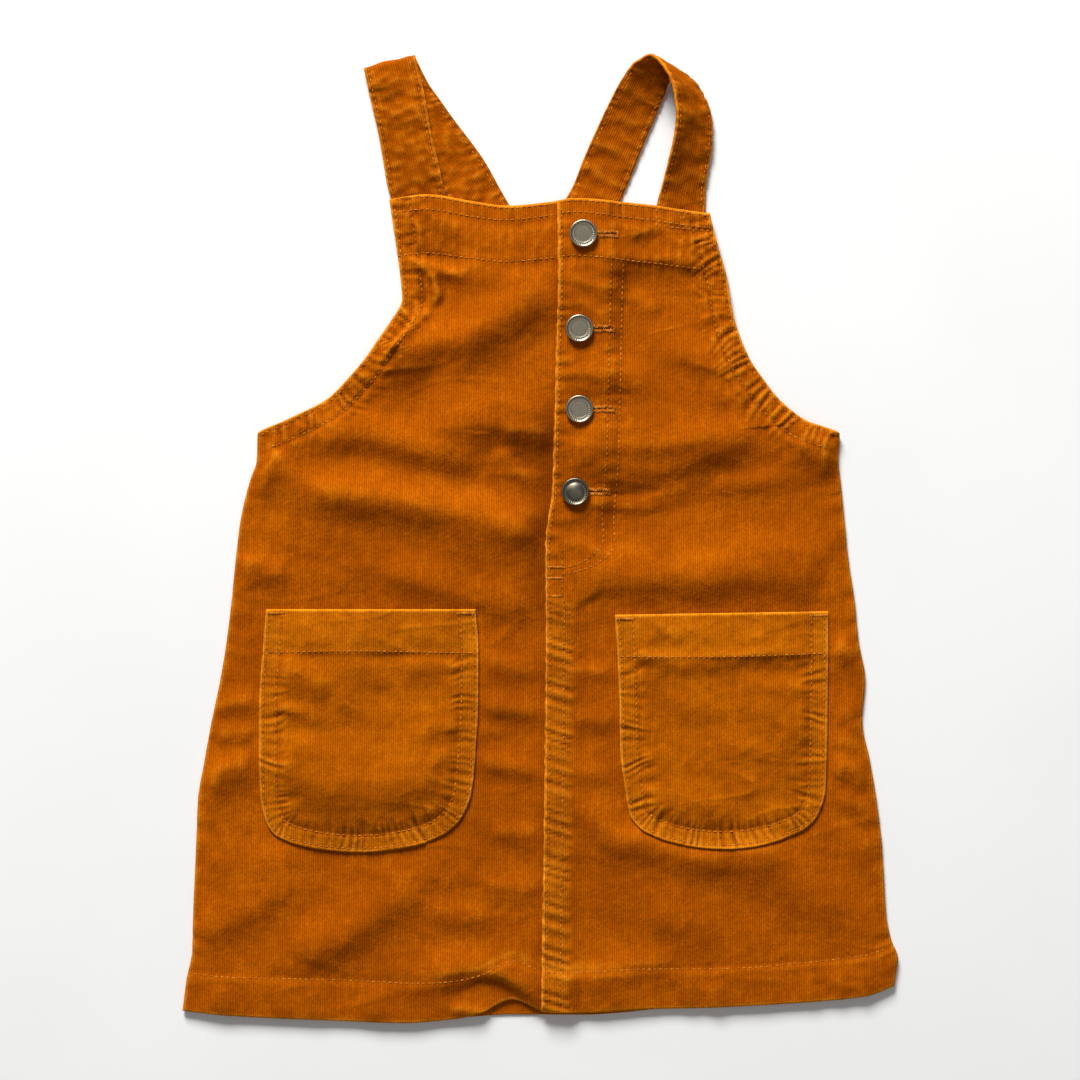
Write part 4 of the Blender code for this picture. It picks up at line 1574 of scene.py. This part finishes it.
RIGHT_STRAP = (
    Station(60.5, 165.5, 1.15, 87.5, 163.3, 1.15),
    Station(62.7, 179.0, 1.6, 89.1, 176.9, 1.35),
    Station(65.9, 191.4, 5.5, 89.6, 191.4, 1.8),
    Station(69.1, 204.4, 11.0, 91.8, 204.4, 2.2),
    Station(71.8, 216.3, 15.5, 92.9, 216.3, 2.6),
    Station(72.6, 228.7, 18.0, 92.3, 228.2, 2.6),
    Station(70.7, 240.6, 18.5, 88.0, 239.5, 2.3),
    Station(65.9, 251.9, 17.5, 81.5, 247.6, 2.0),
    Station(58.3, 258.4, 15.5, 75.0, 250.6, 1.6),
    Station(50.8, 255.2, 12.5, 70.7, 247.6, 1.4),
    Station(44.3, 247.1, 9.5, 67.2, 239.0, 1.3),
    Station(37.3, 234.6, 6.0, 62.1, 227.1, 1.2),
    Station(30.8, 221.1, 3.5, 55.9, 212.5, 1.15),
    Station(23.8, 205.5, 2.0, 50.2, 197.9, 1.1),
    Station(17.8, 190.4, 1.3, 43.7, 182.8, 1.1),
    Station(9.5, 176.3, 1.9, 33.8, 162.3, 1.9),
    Station(1.6, 162.8, 3.5, 25.9, 148.8, 3.3),
    Station(-13.5, 135.8, 3.5, 11.3, 121.8, 3.5),
    Station(-26.5, 113.1, 3.5, -1.6, 99.1, 3.5),
    Station(-35.6, 96.9, 2.7, -10.8, 82.9, 2.75),
    Station(-46.4, 77.5, 2.65, -22.1, 63.5, 2.65),
)


@dataclass
class TackButton:
    """A turned tack button: a dished cap with a rolled rim on a short shank, its face left plain."""

    name: str
    node: str
    domed: bool = False
    steps: int = 128
    notches: int = 32
    cap: float = 3.1
    milling: float = 0.16

    def profile(self) -> Array:
        """Half profile, as distance and height, from the middle of the face over the rim and under it."""
        dished = ((0, 2.42), (1.6, 2.41), (3.2, 2.38), (4.3, 2.34), (4.7, 2.40), (4.95, 2.54), (5.3, 2.6))
        dome = ((0, 3.55), (1.5, 3.45), (3.0, 3.15), (4.2, 2.75), (4.8, 2.48), (5.1, 2.42), (5.4, 2.5))
        rim = ((6.0, 2.66), (6.3, 2.8), (6.6, 3.04), (6.9, 3.1), (7.2, 2.98), (7.42, 2.6), (7.5, 2.1))
        below = ((7.45, 1.7), (7.25, 1.3), (6.7, 0.75), (5.6, 0.3), (4.0, 0.06), (2.4, 0.0))
        return smooth_path([*(dome if self.domed else dished), *rim, *below], 0.28)

    def build(self) -> bpy.types.Object:
        """The surface of revolution of the profile, milled round its rim and closed at both poles."""
        x, y, foot = button_place(self.node)
        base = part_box(self.node)[1][2] / MM - self.cap
        shank = [[2.3, -0.3], [2.3, foot - base + 0.2], [2.0, foot - base]]
        line = np.concatenate([self.profile()[1:], shank])
        turn = np.arange(self.steps) * 2 * np.pi / self.steps
        teeth = 0.5 + 0.5 * np.cos(self.notches * turn)
        milled = band(line[:, :1], 5.0, 6.3, 0.4) * (line[:, 1:] > 2.2) * teeth
        height = line[:, 1:] - self.milling * milled
        ring = np.stack([line[:, :1] * np.cos(turn), line[:, :1] * np.sin(turn), height], axis=-1)
        points = np.concatenate([[[0, 0, self.profile()[0, 1]]], ring.reshape(-1, 3), [[0, 0, foot - base]]])
        first = 1 + np.arange(self.steps)
        after = np.roll(first, -1)
        end = (len(line) - 1) * self.steps
        last = len(points) - 1
        caps = [np.stack([0 * first, first, after], axis=-1)]
        caps.append(np.stack([last + 0 * first, end + after, end + first], axis=-1))
        quads = 1 + np.roll(tube_faces(len(line), self.steps), 1, axis=1)
        faces = quads.tolist() + np.concatenate(caps).tolist()
        mesh = bpy.data.meshes.new(self.name)
        mesh.from_pydata(((points + [x, y, base]) * MM).tolist(), [], faces)
        return placed(self.name, mesh)

    def make(self, finishes: Finishes) -> None:
        """Builds the button and dresses it: the domed one is of darker metal."""
        finish, slot = (finishes.pewter, "pewter_metal") if self.domed else (finishes.silver, "silver_metal")
        dress(self.build(), finish, [self.node])


@dataclass
class Topstitching:
    """The rows sewn on the front: bib, armholes, centre, placket and hem, and the buttonholes' thread."""

    armhole_rows: tuple[float, float] = (2.1, 10.8)
    bib_rows: tuple[float, float, float] = (1.5, 8.0, 31.0)
    placket_rows: tuple[float, float] = (28.6, 35.0)
    fell_rows: tuple[float, float] = (2.6, 10.0)
    hem_row: float = 21.5

    def lay(self, thread: Thread, line: Array, upper: bool, seed: int) -> None:
        """Sews one plan line on one half of the front."""
        at = FRONT.spot(line[:, 0], line[:, 1])
        thread.run(np.column_stack([line, FRONT.top(at, upper)]), seed)

    def half(self, thread: Thread, side: Side) -> None:
        """All the rows of one half.

        Args:
            thread: where they are gathered.
            side: which half.
        """
        upper = side is Side.RIGHT
        path = CUT.armhole(side)
        inward = left_of(path) * (1 if upper else -1)
        underarm = abs(float(CUT.side(side, np.array(UNDERARM))))
        for number, inset in enumerate(self.armhole_rows):
            line = smooth_path(path + inward * inset, 1.2)
            below_bib = line[:, 1] < curve(BIB_EDGE, line[:, 0]) - 1.5
            self.lay(thread, line[below_bib & (np.abs(line[:, 0]) < underarm - 1)], upper, number)
        edge = float(CUT.centre(np.array(TOP - 10)))
        outer = float(CUT.side(side, np.array(TOP - 10)))
        for number, depth in enumerate(self.bib_rows):
            start, end = (edge + 1.6, outer - 2.5) if upper else (outer + 2.5, edge - 0.6)
            across = np.arange(start, end, 1.2)
            bow = 0.5 * np.sin(across / 17 + number)
            row = curve(BIB_EDGE, across) - depth + bow * (depth > 2)
            self.lay(thread, np.column_stack([across, row]), upper, 4 + number)
        hem_x = np.arange(3.5, 187, 1.2) if upper else np.arange(-187.5, -1, 1.2)
        row = curve(FRONT_HEM, hem_x) + self.hem_row + 0.7 * np.sin(hem_x / 23)
        self.lay(thread, np.column_stack([hem_x, row]), upper, 9)

    def centre(self, thread: Thread) -> None:
        """The centre edge's row, the felled seam, the placket's curved rows and end box, the strap's tacks.

        Args:
            thread: where the stitches go.
        """
        heights = np.arange(PLACKET_END + 2, 178, 1.2)
        self.lay(thread, np.column_stack([CUT.centre(heights) + 2.2, heights]), True, 12)
        heights = np.arange(-252, PLACKET_END, 1.2)
        for number, inset in enumerate(self.fell_rows):
            self.lay(thread, np.column_stack([CUT.centre(heights) + inset, heights]), True, 13 + number)
        for number, inset in enumerate(self.placket_rows):
            drop = 3.5 * number
            plan = [(CUT.centre(np.array(h)) + inset, h) for h in (148.0, 120.0, 90.0, 60.0, 36.0, 14.0)]
            plan += [(33 + 5 * number, -4.0 - drop), (27 + 3.5 * number, -10.0 - drop)]
            plan += [(18 + 1.0 * number, -14.5 - drop), (11.5, -16.0 - drop)]
            self.lay(thread, smooth_path(plan, 1.2), True, 16 + number)
        box = [(11.9, -5.0), (11.9, -31.0), (4.6, -31.0)]
        self.lay(thread, smooth_path(box[:2], 1.2), True, 20)
        self.lay(thread, smooth_path(box[1:], 1.2), True, 21)
        for height in (-15.4, -21.3, -31.0):
            across = np.arange(4.4, 12.2, 0.55)
            self.bar(thread, across, np.full(across.shape, height), (0.0, 1.0, 0.0), 0.8)
        for x in (62.6, 75.6, 77.2):
            self.lay(thread, smooth_path([(x, 178.0), (x + 0.3, 167.0)], 1.2), True, 23)
        self.lay(thread, smooth_path([(63.0, 168.4), (78.0, 166.6), (92.0, 165.4)], 1.2), True, 24)
        self.lay(thread, smooth_path([(-77.5, 176.0), (-76.0, 163.0), (-75.0, 153.0)], 1.2), False, 25)

    def bar(
        self, thread: Thread, x: Array, y: Array, run: tuple[float, float, float], half_length: float
    ) -> None:
        """A bar of close stitches, each across its line."""
        at = FRONT.spot(x, y)
        places = np.column_stack([x, y, FRONT.top(at, True) + 0.05])
        thread.add(places, np.tile(run, (len(places), 1)), half_length)

    def buttonholes(self, thread: Thread) -> None:
        """Two close zigzag rows beside each slit, and a bar at its end."""
        for x, y, _ in FRONT.buttons:
            across = np.arange(x + 6.5, x + 18.0, 0.62)
            draw = np.random.default_rng(int(y) + 200)
            for side in (-1.15, 1.15):
                lean = np.where(np.arange(len(across)) % 2 == 0, 0.6, -0.6)
                lean = lean + draw.normal(0, 0.35, len(across))
                rows = y + side * (1 + 0.3 * ripple(across, 4.5, int(y) + 210))
                rows = rows + draw.normal(0, 0.2, len(across))
                at = FRONT.spot(across, rows)
                places = np.column_stack([across, rows, FRONT.top(at, True) + 0.30])
                runs = np.column_stack([lean, np.ones_like(lean), np.zeros_like(lean)])
                thread.add(places, runs, 1.1)
            ends = np.arange(y - 1.6, y + 1.7, 0.55)
            at = FRONT.spot(np.full(ends.shape, x + 18.4), ends)
            places = np.column_stack([at.x, ends, FRONT.top(at, True) + 0.28])
            thread.add(places, np.tile((1.0, 0.15, 0.0), (len(places), 1)), 0.8)


# ---------------------------------------------------------------- finishes


class Graph:
    """Short ways to add nodes to one tree."""

    def __init__(self, tree: Nodes) -> None:
        """Keeps the tree."""
        self.tree = tree

    def add(self, kind: str, **settings: object) -> bpy.types.Node:
        """A node with its settings."""
        node = self.tree.nodes.new(kind)
        for key, value in settings.items():
            setattr(node, key, value)
        return node

    def feed(self, socket: Socket, value: Socket | float | tuple[float, ...]) -> None:
        """Links a socket, or sets its value."""
        if isinstance(value, bpy.types.NodeSocket):
            self.tree.links.new(value, socket)
        else:
            socket.default_value = value

    def math(self, operation: str, *values: Socket | float, clamp: bool = False) -> Socket:
        """A Math node's result."""
        node = self.add("ShaderNodeMath", operation=operation, use_clamp=clamp)
        for socket, value in zip(node.inputs, values):
            self.feed(socket, value)
        return node.outputs[0]

    def mix(
        self, share: Socket | float, first: Socket | tuple, second: Socket | tuple, blend: str = "MIX"
    ) -> Socket:
        """A colour between two."""
        node = self.add("ShaderNodeMix", data_type="RGBA", blend_type=blend)
        self.feed(node.inputs[0], share)
        self.feed(node.inputs[6], first)
        self.feed(node.inputs[7], second)
        return node.outputs[2]

    def noise(self, vector: Socket, scale: float, detail: float = 2.0, roughness: float = 0.5) -> Socket:
        """A noise texture's value."""
        node = self.add("ShaderNodeTexNoise")
        self.feed(node.inputs["Vector"], vector)
        node.inputs["Scale"].default_value = scale
        node.inputs["Detail"].default_value = detail
        node.inputs["Roughness"].default_value = roughness
        return node.outputs[0]

    def span(
        self, value: Socket, low: float, high: float, to_low: float = 0.0, to_high: float = 1.0
    ) -> Socket:
        """A value's range moved onto another one, and held inside it."""
        node = self.add("ShaderNodeMapRange", clamp=True, interpolation_type="SMOOTHSTEP")
        self.feed(node.inputs["Value"], value)
        for key, number in (("From Min", low), ("From Max", high), ("To Min", to_low), ("To Max", to_high)):
            node.inputs[key].default_value = number
        return node.outputs[0]

    def scaled(self, vector: Socket, scale: tuple[float, float, float]) -> Socket:
        """A vector stretched along its axes."""
        node = self.add("ShaderNodeVectorMath", operation="MULTIPLY")
        self.feed(node.inputs[0], vector)
        node.inputs[1].default_value = scale
        return node.outputs[0]


def new_group(
    name: str, inputs: dict[str, str], outputs: dict[str, str]
) -> tuple[Graph, Nodes, dict[str, Socket], dict[str, Socket]]:
    """A shader node group with named sockets.

    Args:
        name: the group's name.
        inputs: socket kinds by name.
        outputs: socket kinds by name.

    Returns:
        Its graph, the tree, its inputs' sockets and its outputs' sockets.
    """
    tree = bpy.data.node_groups.new(name, "ShaderNodeTree")
    for key, kind in inputs.items():
        tree.interface.new_socket(key, in_out="INPUT", socket_type=kind)
    for key, kind in outputs.items():
        tree.interface.new_socket(key, in_out="OUTPUT", socket_type=kind)
    start, end = tree.nodes.new("NodeGroupInput"), tree.nodes.new("NodeGroupOutput")
    given = {key: start.outputs[key] for key in inputs}
    made = {key: end.inputs[key] for key in outputs}
    return Graph(tree), tree, given, made


FLOAT, VECTOR, COLOUR = "NodeSocketFloat", "NodeSocketVector", "NodeSocketColor"


def corduroy_group() -> Nodes:
    """Fine corduroy: rounded wales across U with painted shade between them, brushed pile that mottles along
    V, wear, painted highlight on crests and painted shade in hollows.

    Returns:
        The node group.
    """
    graph, tree, given, made = new_group(
        "corduroy",
        {
            "Cloth": VECTOR,
            **dict.fromkeys(("Wear_and_highlight", "Painted_shade", "Pitch"), FLOAT),
            **dict.fromkeys(("Deep", "Middle", "Light", "Worn"), COLOUR),
        },
        {"Colour": COLOUR, "Roughness": FLOAT, "Height": FLOAT},
    )
    apart = graph.add("ShaderNodeSeparateXYZ")
    graph.feed(apart.inputs[0], given["Cloth"])
    wobble = graph.math("MULTIPLY", graph.math("SUBTRACT", graph.noise(given["Cloth"], 55, 2), 0.5), 2.2)
    turns = graph.math("DIVIDE", graph.math("MULTIPLY", apart.outputs[0], 2 * np.pi), given["Pitch"])
    wave = graph.math("COSINE", graph.math("ADD", turns, wobble))
    wale = graph.math("POWER", graph.math("MULTIPLY_ADD", wave, 0.5, 0.5), 0.7)
    pile = graph.noise(graph.scaled(given["Cloth"], (1.0, 0.35, 1.0)), 1500, 3, 0.7)
    grain = graph.noise(given["Cloth"], 620, 3, 0.65)
    streak = graph.noise(graph.scaled(given["Cloth"], (1.0, 0.16, 1.0)), 420, 3, 0.6)
    mottle = graph.noise(given["Cloth"], 75, 5, 0.62)
    broad = graph.noise(given["Cloth"], 17, 3, 0.55)
    tone = graph.math("ADD", graph.math("MULTIPLY", broad, 0.9), graph.math("MULTIPLY", mottle, 0.9))
    tone = graph.math("ADD", tone, graph.math("MULTIPLY", graph.math("SUBTRACT", streak, 0.5), 0.7))
    tone = graph.math("ADD", tone, graph.math("MULTIPLY", graph.math("SUBTRACT", grain, 0.5), 0.8))
    base = graph.mix(graph.span(tone, 0.95, 0.5, 0.0, 0.24), given["Middle"], given["Deep"])
    base = graph.mix(graph.span(tone, 0.8, 1.3, 0.0, 0.7), base, given["Light"])
    # Wear mixes in the worn tone; its mask also carries a painted highlight on crests.
    patchy = graph.math("ADD", mottle, graph.math("MULTIPLY", grain, 0.6))
    ragged = graph.math("MULTIPLY", given["Wear_and_highlight"], graph.span(patchy, 0.5, 0.95, 0.35, 1.25))
    base = graph.mix(graph.math("MULTIPLY", ragged, 0.8, clamp=True), base, given["Worn"])
    # Painted shade: the deep tone mixed into the hollows by their mask.
    hollow = graph.math("MULTIPLY", given["Painted_shade"], 0.62, clamp=True)
    base = graph.mix(hollow, base, given["Deep"])
    # Painted shade in the valleys between the wales, times the pile's uneven tone.
    valley = graph.span(wale, 0.05, 0.75, 0.74, 1.08)
    shade = graph.math("MULTIPLY", valley, graph.span(pile, 0.3, 0.7, 0.86, 1.12))
    base = graph.mix(1.0, base, shade, "MULTIPLY")
    graph.feed(made["Colour"], base)
    graph.feed(made["Roughness"], graph.span(mottle, 0.3, 0.7, 0.82, 0.96))
    height = graph.math("MULTIPLY", wale, 0.16)
    height = graph.math("MULTIPLY_ADD", pile, 0.10, height)
    height = graph.math("MULTIPLY_ADD", grain, 0.16, height)
    height = graph.math("MULTIPLY_ADD", graph.noise(given["Cloth"], 190, 3, 0.6), 0.55, height)
    height = graph.math("MULTIPLY_ADD", graph.noise(given["Cloth"], 70, 3, 0.6), 0.9, height)
    graph.feed(made["Height"], height)
    return tree


def tarnish_group() -> Nodes:
    """Aged metal: fine turning marks, darker in the hollows, duller in soft patches.

    Returns:
        The node group.
    """
    graph, tree, given, made = new_group(
        "tarnish",
        {"Place": VECTOR, "Bright": COLOUR, "Dark": COLOUR},
        {"Colour": COLOUR, "Roughness": FLOAT, "Height": FLOAT},
    )
    patch = graph.noise(given["Place"], 260, 4, 0.6)
    speck = graph.noise(given["Place"], 2200, 3, 0.7)
    pointed = graph.add("ShaderNodeNewGeometry").outputs["Pointiness"]
    hollow = graph.span(pointed, 0.44, 0.52, 1.0, 0.0)
    dulled = graph.math("MULTIPLY", graph.span(patch, 0.35, 0.7), 0.35)
    worn = graph.math("ADD", dulled, graph.math("MULTIPLY", hollow, 0.55), clamp=True)
    graph.feed(made["Colour"], graph.mix(worn, given["Bright"], given["Dark"]))
    rough = graph.math("ADD", patch, graph.math("MULTIPLY", speck, 0.4))
    graph.feed(made["Roughness"], graph.span(rough, 0.4, 1.0, 0.26, 0.5))
    height = graph.math("ADD", graph.math("MULTIPLY", speck, 0.03), graph.math("MULTIPLY", patch, 0.05))
    graph.feed(made["Height"], height)
    return tree


Tint = tuple[float, float, float]


@dataclass(frozen=True)
class Corduroy:
    """A corduroy finish: four tones of its pile, the deep one also its painted shade and the worn one also
    its painted highlight, and the distance between its wales.
    """

    name: str
    deep: Tint
    middle: Tint
    light: Tint
    worn: Tint
    pitch: float = 1.2
    bump: float = 1.0

    def material(self, group: Nodes) -> bpy.types.Material:
        """Its material, on the piece's own cloth coordinates."""
        made = bpy.data.materials.new(self.name)
        made.use_nodes = True
        graph = Graph(made.node_tree)
        shader = made.node_tree.nodes["Principled BSDF"]
        cord = graph.add("ShaderNodeGroup", node_tree=group)
        graph.feed(cord.inputs["Cloth"], graph.add("ShaderNodeUVMap", uv_map="Cloth").outputs[0])
        # The masks carry wear with a painted highlight on crests, and painted shade in hollows.
        for key in ("Wear_and_highlight", "Painted_shade"):
            mask = graph.add("ShaderNodeAttribute", attribute_name=key.lower())
            graph.feed(cord.inputs[key], mask.outputs["Fac"])
        cord.inputs["Pitch"].default_value = self.pitch * MM
        for key in ("Deep", "Middle", "Light", "Worn"):
            tint = getattr(self, key.lower())
            cord.inputs[key].default_value = (*tint, 1.0)
        bump = graph.add("ShaderNodeBump")
        bump.inputs["Distance"].default_value = self.bump * MM
        bump.inputs["Strength"].default_value = 0.8
        graph.feed(bump.inputs["Height"], cord.outputs["Height"])
        graph.feed(shader.inputs["Base Color"], cord.outputs["Colour"])
        graph.feed(shader.inputs["Roughness"], cord.outputs["Roughness"])
        graph.feed(shader.inputs["Normal"], bump.outputs["Normal"])
        shader.inputs["Sheen Weight"].default_value = 0.04
        shader.inputs["Sheen Roughness"].default_value = 0.45
        shader.inputs["Sheen Tint"].default_value = (1.0, 0.42, 0.08, 1.0)
        shader.inputs["Specular IOR Level"].default_value = 0.0
        return made


@dataclass(frozen=True)
class Metal:
    """A metal finish between a bright and a dark tone."""

    name: str
    bright: Tint
    dark: Tint

    def material(self, group: Nodes) -> bpy.types.Material:
        """Its material, on Object coordinates."""
        made = bpy.data.materials.new(self.name)
        made.use_nodes = True
        graph = Graph(made.node_tree)
        shader = made.node_tree.nodes["Principled BSDF"]
        metal = graph.add("ShaderNodeGroup", node_tree=group)
        graph.feed(metal.inputs["Place"], graph.add("ShaderNodeTexCoord").outputs["Object"])
        metal.inputs["Bright"].default_value = (*self.bright, 1.0)
        metal.inputs["Dark"].default_value = (*self.dark, 1.0)
        bump = graph.add("ShaderNodeBump")
        bump.inputs["Distance"].default_value = MM
        graph.feed(bump.inputs["Height"], metal.outputs["Height"])
        graph.feed(shader.inputs["Base Color"], metal.outputs["Colour"])
        graph.feed(shader.inputs["Roughness"], metal.outputs["Roughness"])
        graph.feed(shader.inputs["Normal"], bump.outputs["Normal"])
        shader.inputs["Metallic"].default_value = 1.0
        return made


@dataclass(frozen=True)
class Plain:
    """A matt finish that varies a little between two tones."""

    name: str
    first: Tint
    second: Tint
    scale: float
    roughness: float

    def material(self) -> bpy.types.Material:
        """Its material, on Object coordinates."""
        made = bpy.data.materials.new(self.name)
        made.use_nodes = True
        graph = Graph(made.node_tree)
        shader = made.node_tree.nodes["Principled BSDF"]
        place = graph.add("ShaderNodeTexCoord").outputs["Object"]
        share = graph.span(graph.noise(place, self.scale, 3), 0.35, 0.65)
        graph.feed(shader.inputs["Base Color"], graph.mix(share, (*self.first, 1.0), (*self.second, 1.0)))
        shader.inputs["Roughness"].default_value = self.roughness
        shader.inputs["Specular IOR Level"].default_value = 0.2
        return made


# The deep tones double as painted shade in hollows, the worn tones as painted highlight on crests.
BODY_CORDUROY = Corduroy(
    "corduroy",
    deep=(0.115, 0.018, 0.0005),
    middle=(0.350, 0.070, 0.0008),
    light=(0.515, 0.117, 0.0012),
    worn=(0.720, 0.240, 0.010),
)
POCKET_CORDUROY = Corduroy(
    "pocket_corduroy",
    deep=(0.135, 0.023, 0.0005),
    middle=(0.375, 0.082, 0.0008),
    light=(0.530, 0.132, 0.0014),
    worn=(0.720, 0.250, 0.010),
)
STRAP_CORDUROY = Corduroy(
    "strap_corduroy",
    deep=(0.110, 0.018, 0.0005),
    middle=(0.330, 0.066, 0.0008),
    light=(0.480, 0.108, 0.0012),
    worn=(0.700, 0.220, 0.010),
)
SILVER = Metal("silver_metal", (0.40, 0.35, 0.26), (0.10, 0.085, 0.06))
PEWTER = Metal("pewter_metal", (0.22, 0.19, 0.14), (0.05, 0.045, 0.035))
THREAD = Plain("thread", (0.300, 0.066, 0.001), (0.580, 0.205, 0.010), 380, 0.7)
FLOOR = Plain("floor", (0.80, 0.80, 0.79), (0.82, 0.82, 0.81), 6, 0.9)


# ---------------------------------------------------------------- studio


@dataclass
class Studio:
    """Floor, lights and camera: light from above the straps, and the camera straight over the dress."""

    frame_width: float = 0.5832
    lens: float = 90.0
    sensor: float = 36.0
    camera_y: float = -0.0008
    key_place: tuple[float, float, float] = (-0.9, 3.25, 1.95)
    key_size: float = 1.5
    key_power: float = 290.0
    fill_place: tuple[float, float, float] = (0.3, -0.5, 2.0)
    fill_size: float = 2.2
    fill_power: float = 6.0
    world: float = 0.16
    floor_half: float = 3.0

    def area(self, name: str, place: tuple[float, float, float], size: float, power: float) -> None:
        """A square lamp that faces the middle of the dress.

        Args:
            name: its name.
            place: where it hangs, in metres.
            size: its side, in metres.
            power: its power, in watts.
        """
        lamp = bpy.data.lights.new(name, "AREA")
        lamp.size = size
        lamp.energy = power
        made = bpy.data.objects.new(name, lamp)
        made.location = place
        made.rotation_euler = (-made.location).to_track_quat("-Z", "Y").to_euler()
        bpy.context.scene.collection.objects.link(made)

    def build(self) -> None:
        """Everything round the dress."""
        scene = bpy.context.scene
        scene.view_settings.view_transform = "Standard"
        half = self.floor_half
        mesh = bpy.data.meshes.new("floor")
        corners = [(-half, -half, 0), (half, -half, 0), (half, half, 0), (-half, half, 0)]
        mesh.from_pydata(corners, [], [(0, 1, 2, 3)])
        floor = bpy.data.objects.new("floor", mesh)
        mesh.materials.append(FLOOR.material())
        scene.collection.objects.link(floor)
        self.area("key", self.key_place, self.key_size, self.key_power)
        self.area("fill", self.fill_place, self.fill_size, self.fill_power)
        world = bpy.data.worlds.new("studio")
        world.use_nodes = True
        world.node_tree.nodes["Background"].inputs["Color"].default_value = (1, 1, 1, 1)
        world.node_tree.nodes["Background"].inputs["Strength"].default_value = self.world
        scene.world = world
        camera = bpy.data.cameras.new("camera")
        camera.lens = self.lens
        camera.sensor_width = self.sensor
        seen = bpy.data.objects.new("camera", camera)
        seen.location = (0.0, self.camera_y, self.frame_width * self.lens / self.sensor)
        scene.collection.objects.link(seen)
        scene.camera = seen


# ---------------------------------------------------------------- the dress


class Finishes(NamedTuple):
    """The materials of the dress, made once."""

    body: bpy.types.Material
    pocket: bpy.types.Material
    strap: bpy.types.Material
    silver: bpy.types.Material
    pewter: bpy.types.Material
    thread: bpy.types.Material


def dress(
    piece: bpy.types.Object, material: bpy.types.Material, nodes: Sequence[str] = ()
) -> None:
    """Gives a piece its finish and its body, and hides the CAD nodes that it replaces.

    Args:
        piece: the piece.
        material: its finish.
        nodes: CAD nodes that it replaces.
    """
    piece.data.materials.clear()
    piece.data.materials.append(material)
    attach(piece, BODY)
    if nodes:
        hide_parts(*nodes)
    log.info("%s: %d faces, %s", piece.name, len(piece.data.polygons), material.name)


def main() -> None:
    """Builds the dress piece by piece, then the studio."""
    logging.basicConfig(level=logging.INFO, format="%(name)s: %(message)s")
    cord, tarnish = corduroy_group(), tarnish_group()
    finishes = Finishes(
        *(finish.material(cord) for finish in (BODY_CORDUROY, POCKET_CORDUROY, STRAP_CORDUROY)),
        *(metal.material(tarnish) for metal in (SILVER, PEWTER)),
        THREAD.material(),
    )
    fold = pressed_fold(LEFT_STRAP_FRONT[-1], LEFT_STRAP_BACK[0])
    left_rows = np.concatenate([strap_rows(LEFT_STRAP_FRONT), fold, strap_rows(LEFT_STRAP_BACK)])
    left, right = ("pocket_left", "front_left_cloth"), ("pocket_right", "front_right_cloth")
    pieces = (
        BackPanel(),
        FrontPanel("front_left_cloth", "front_left", False),
        FrontPanel("front_right_cloth", "front_right", True),
        PatchPocket("pocket_left_cloth", *left, POCKET_LEFT, POCKET_LEFT_CREASES, 51),
        PatchPocket("pocket_right_cloth", *right, POCKET_RIGHT, POCKET_RIGHT_CREASES, 71, tilt=1.9),
        Strap("strap_left_cloth", "strap_left", left_rows, 31),
        Strap("strap_right_cloth", "strap_right", strap_rows(RIGHT_STRAP), 43, wrinkle=0.6),
        *(TackButton(f"{node}_metal", node, node == BUTTON_NODES[-1]) for node in BUTTON_NODES),
    )
    for piece in pieces:
        piece.make(finishes)
    Studio().build()


if __name__ == "__main__":
    main()
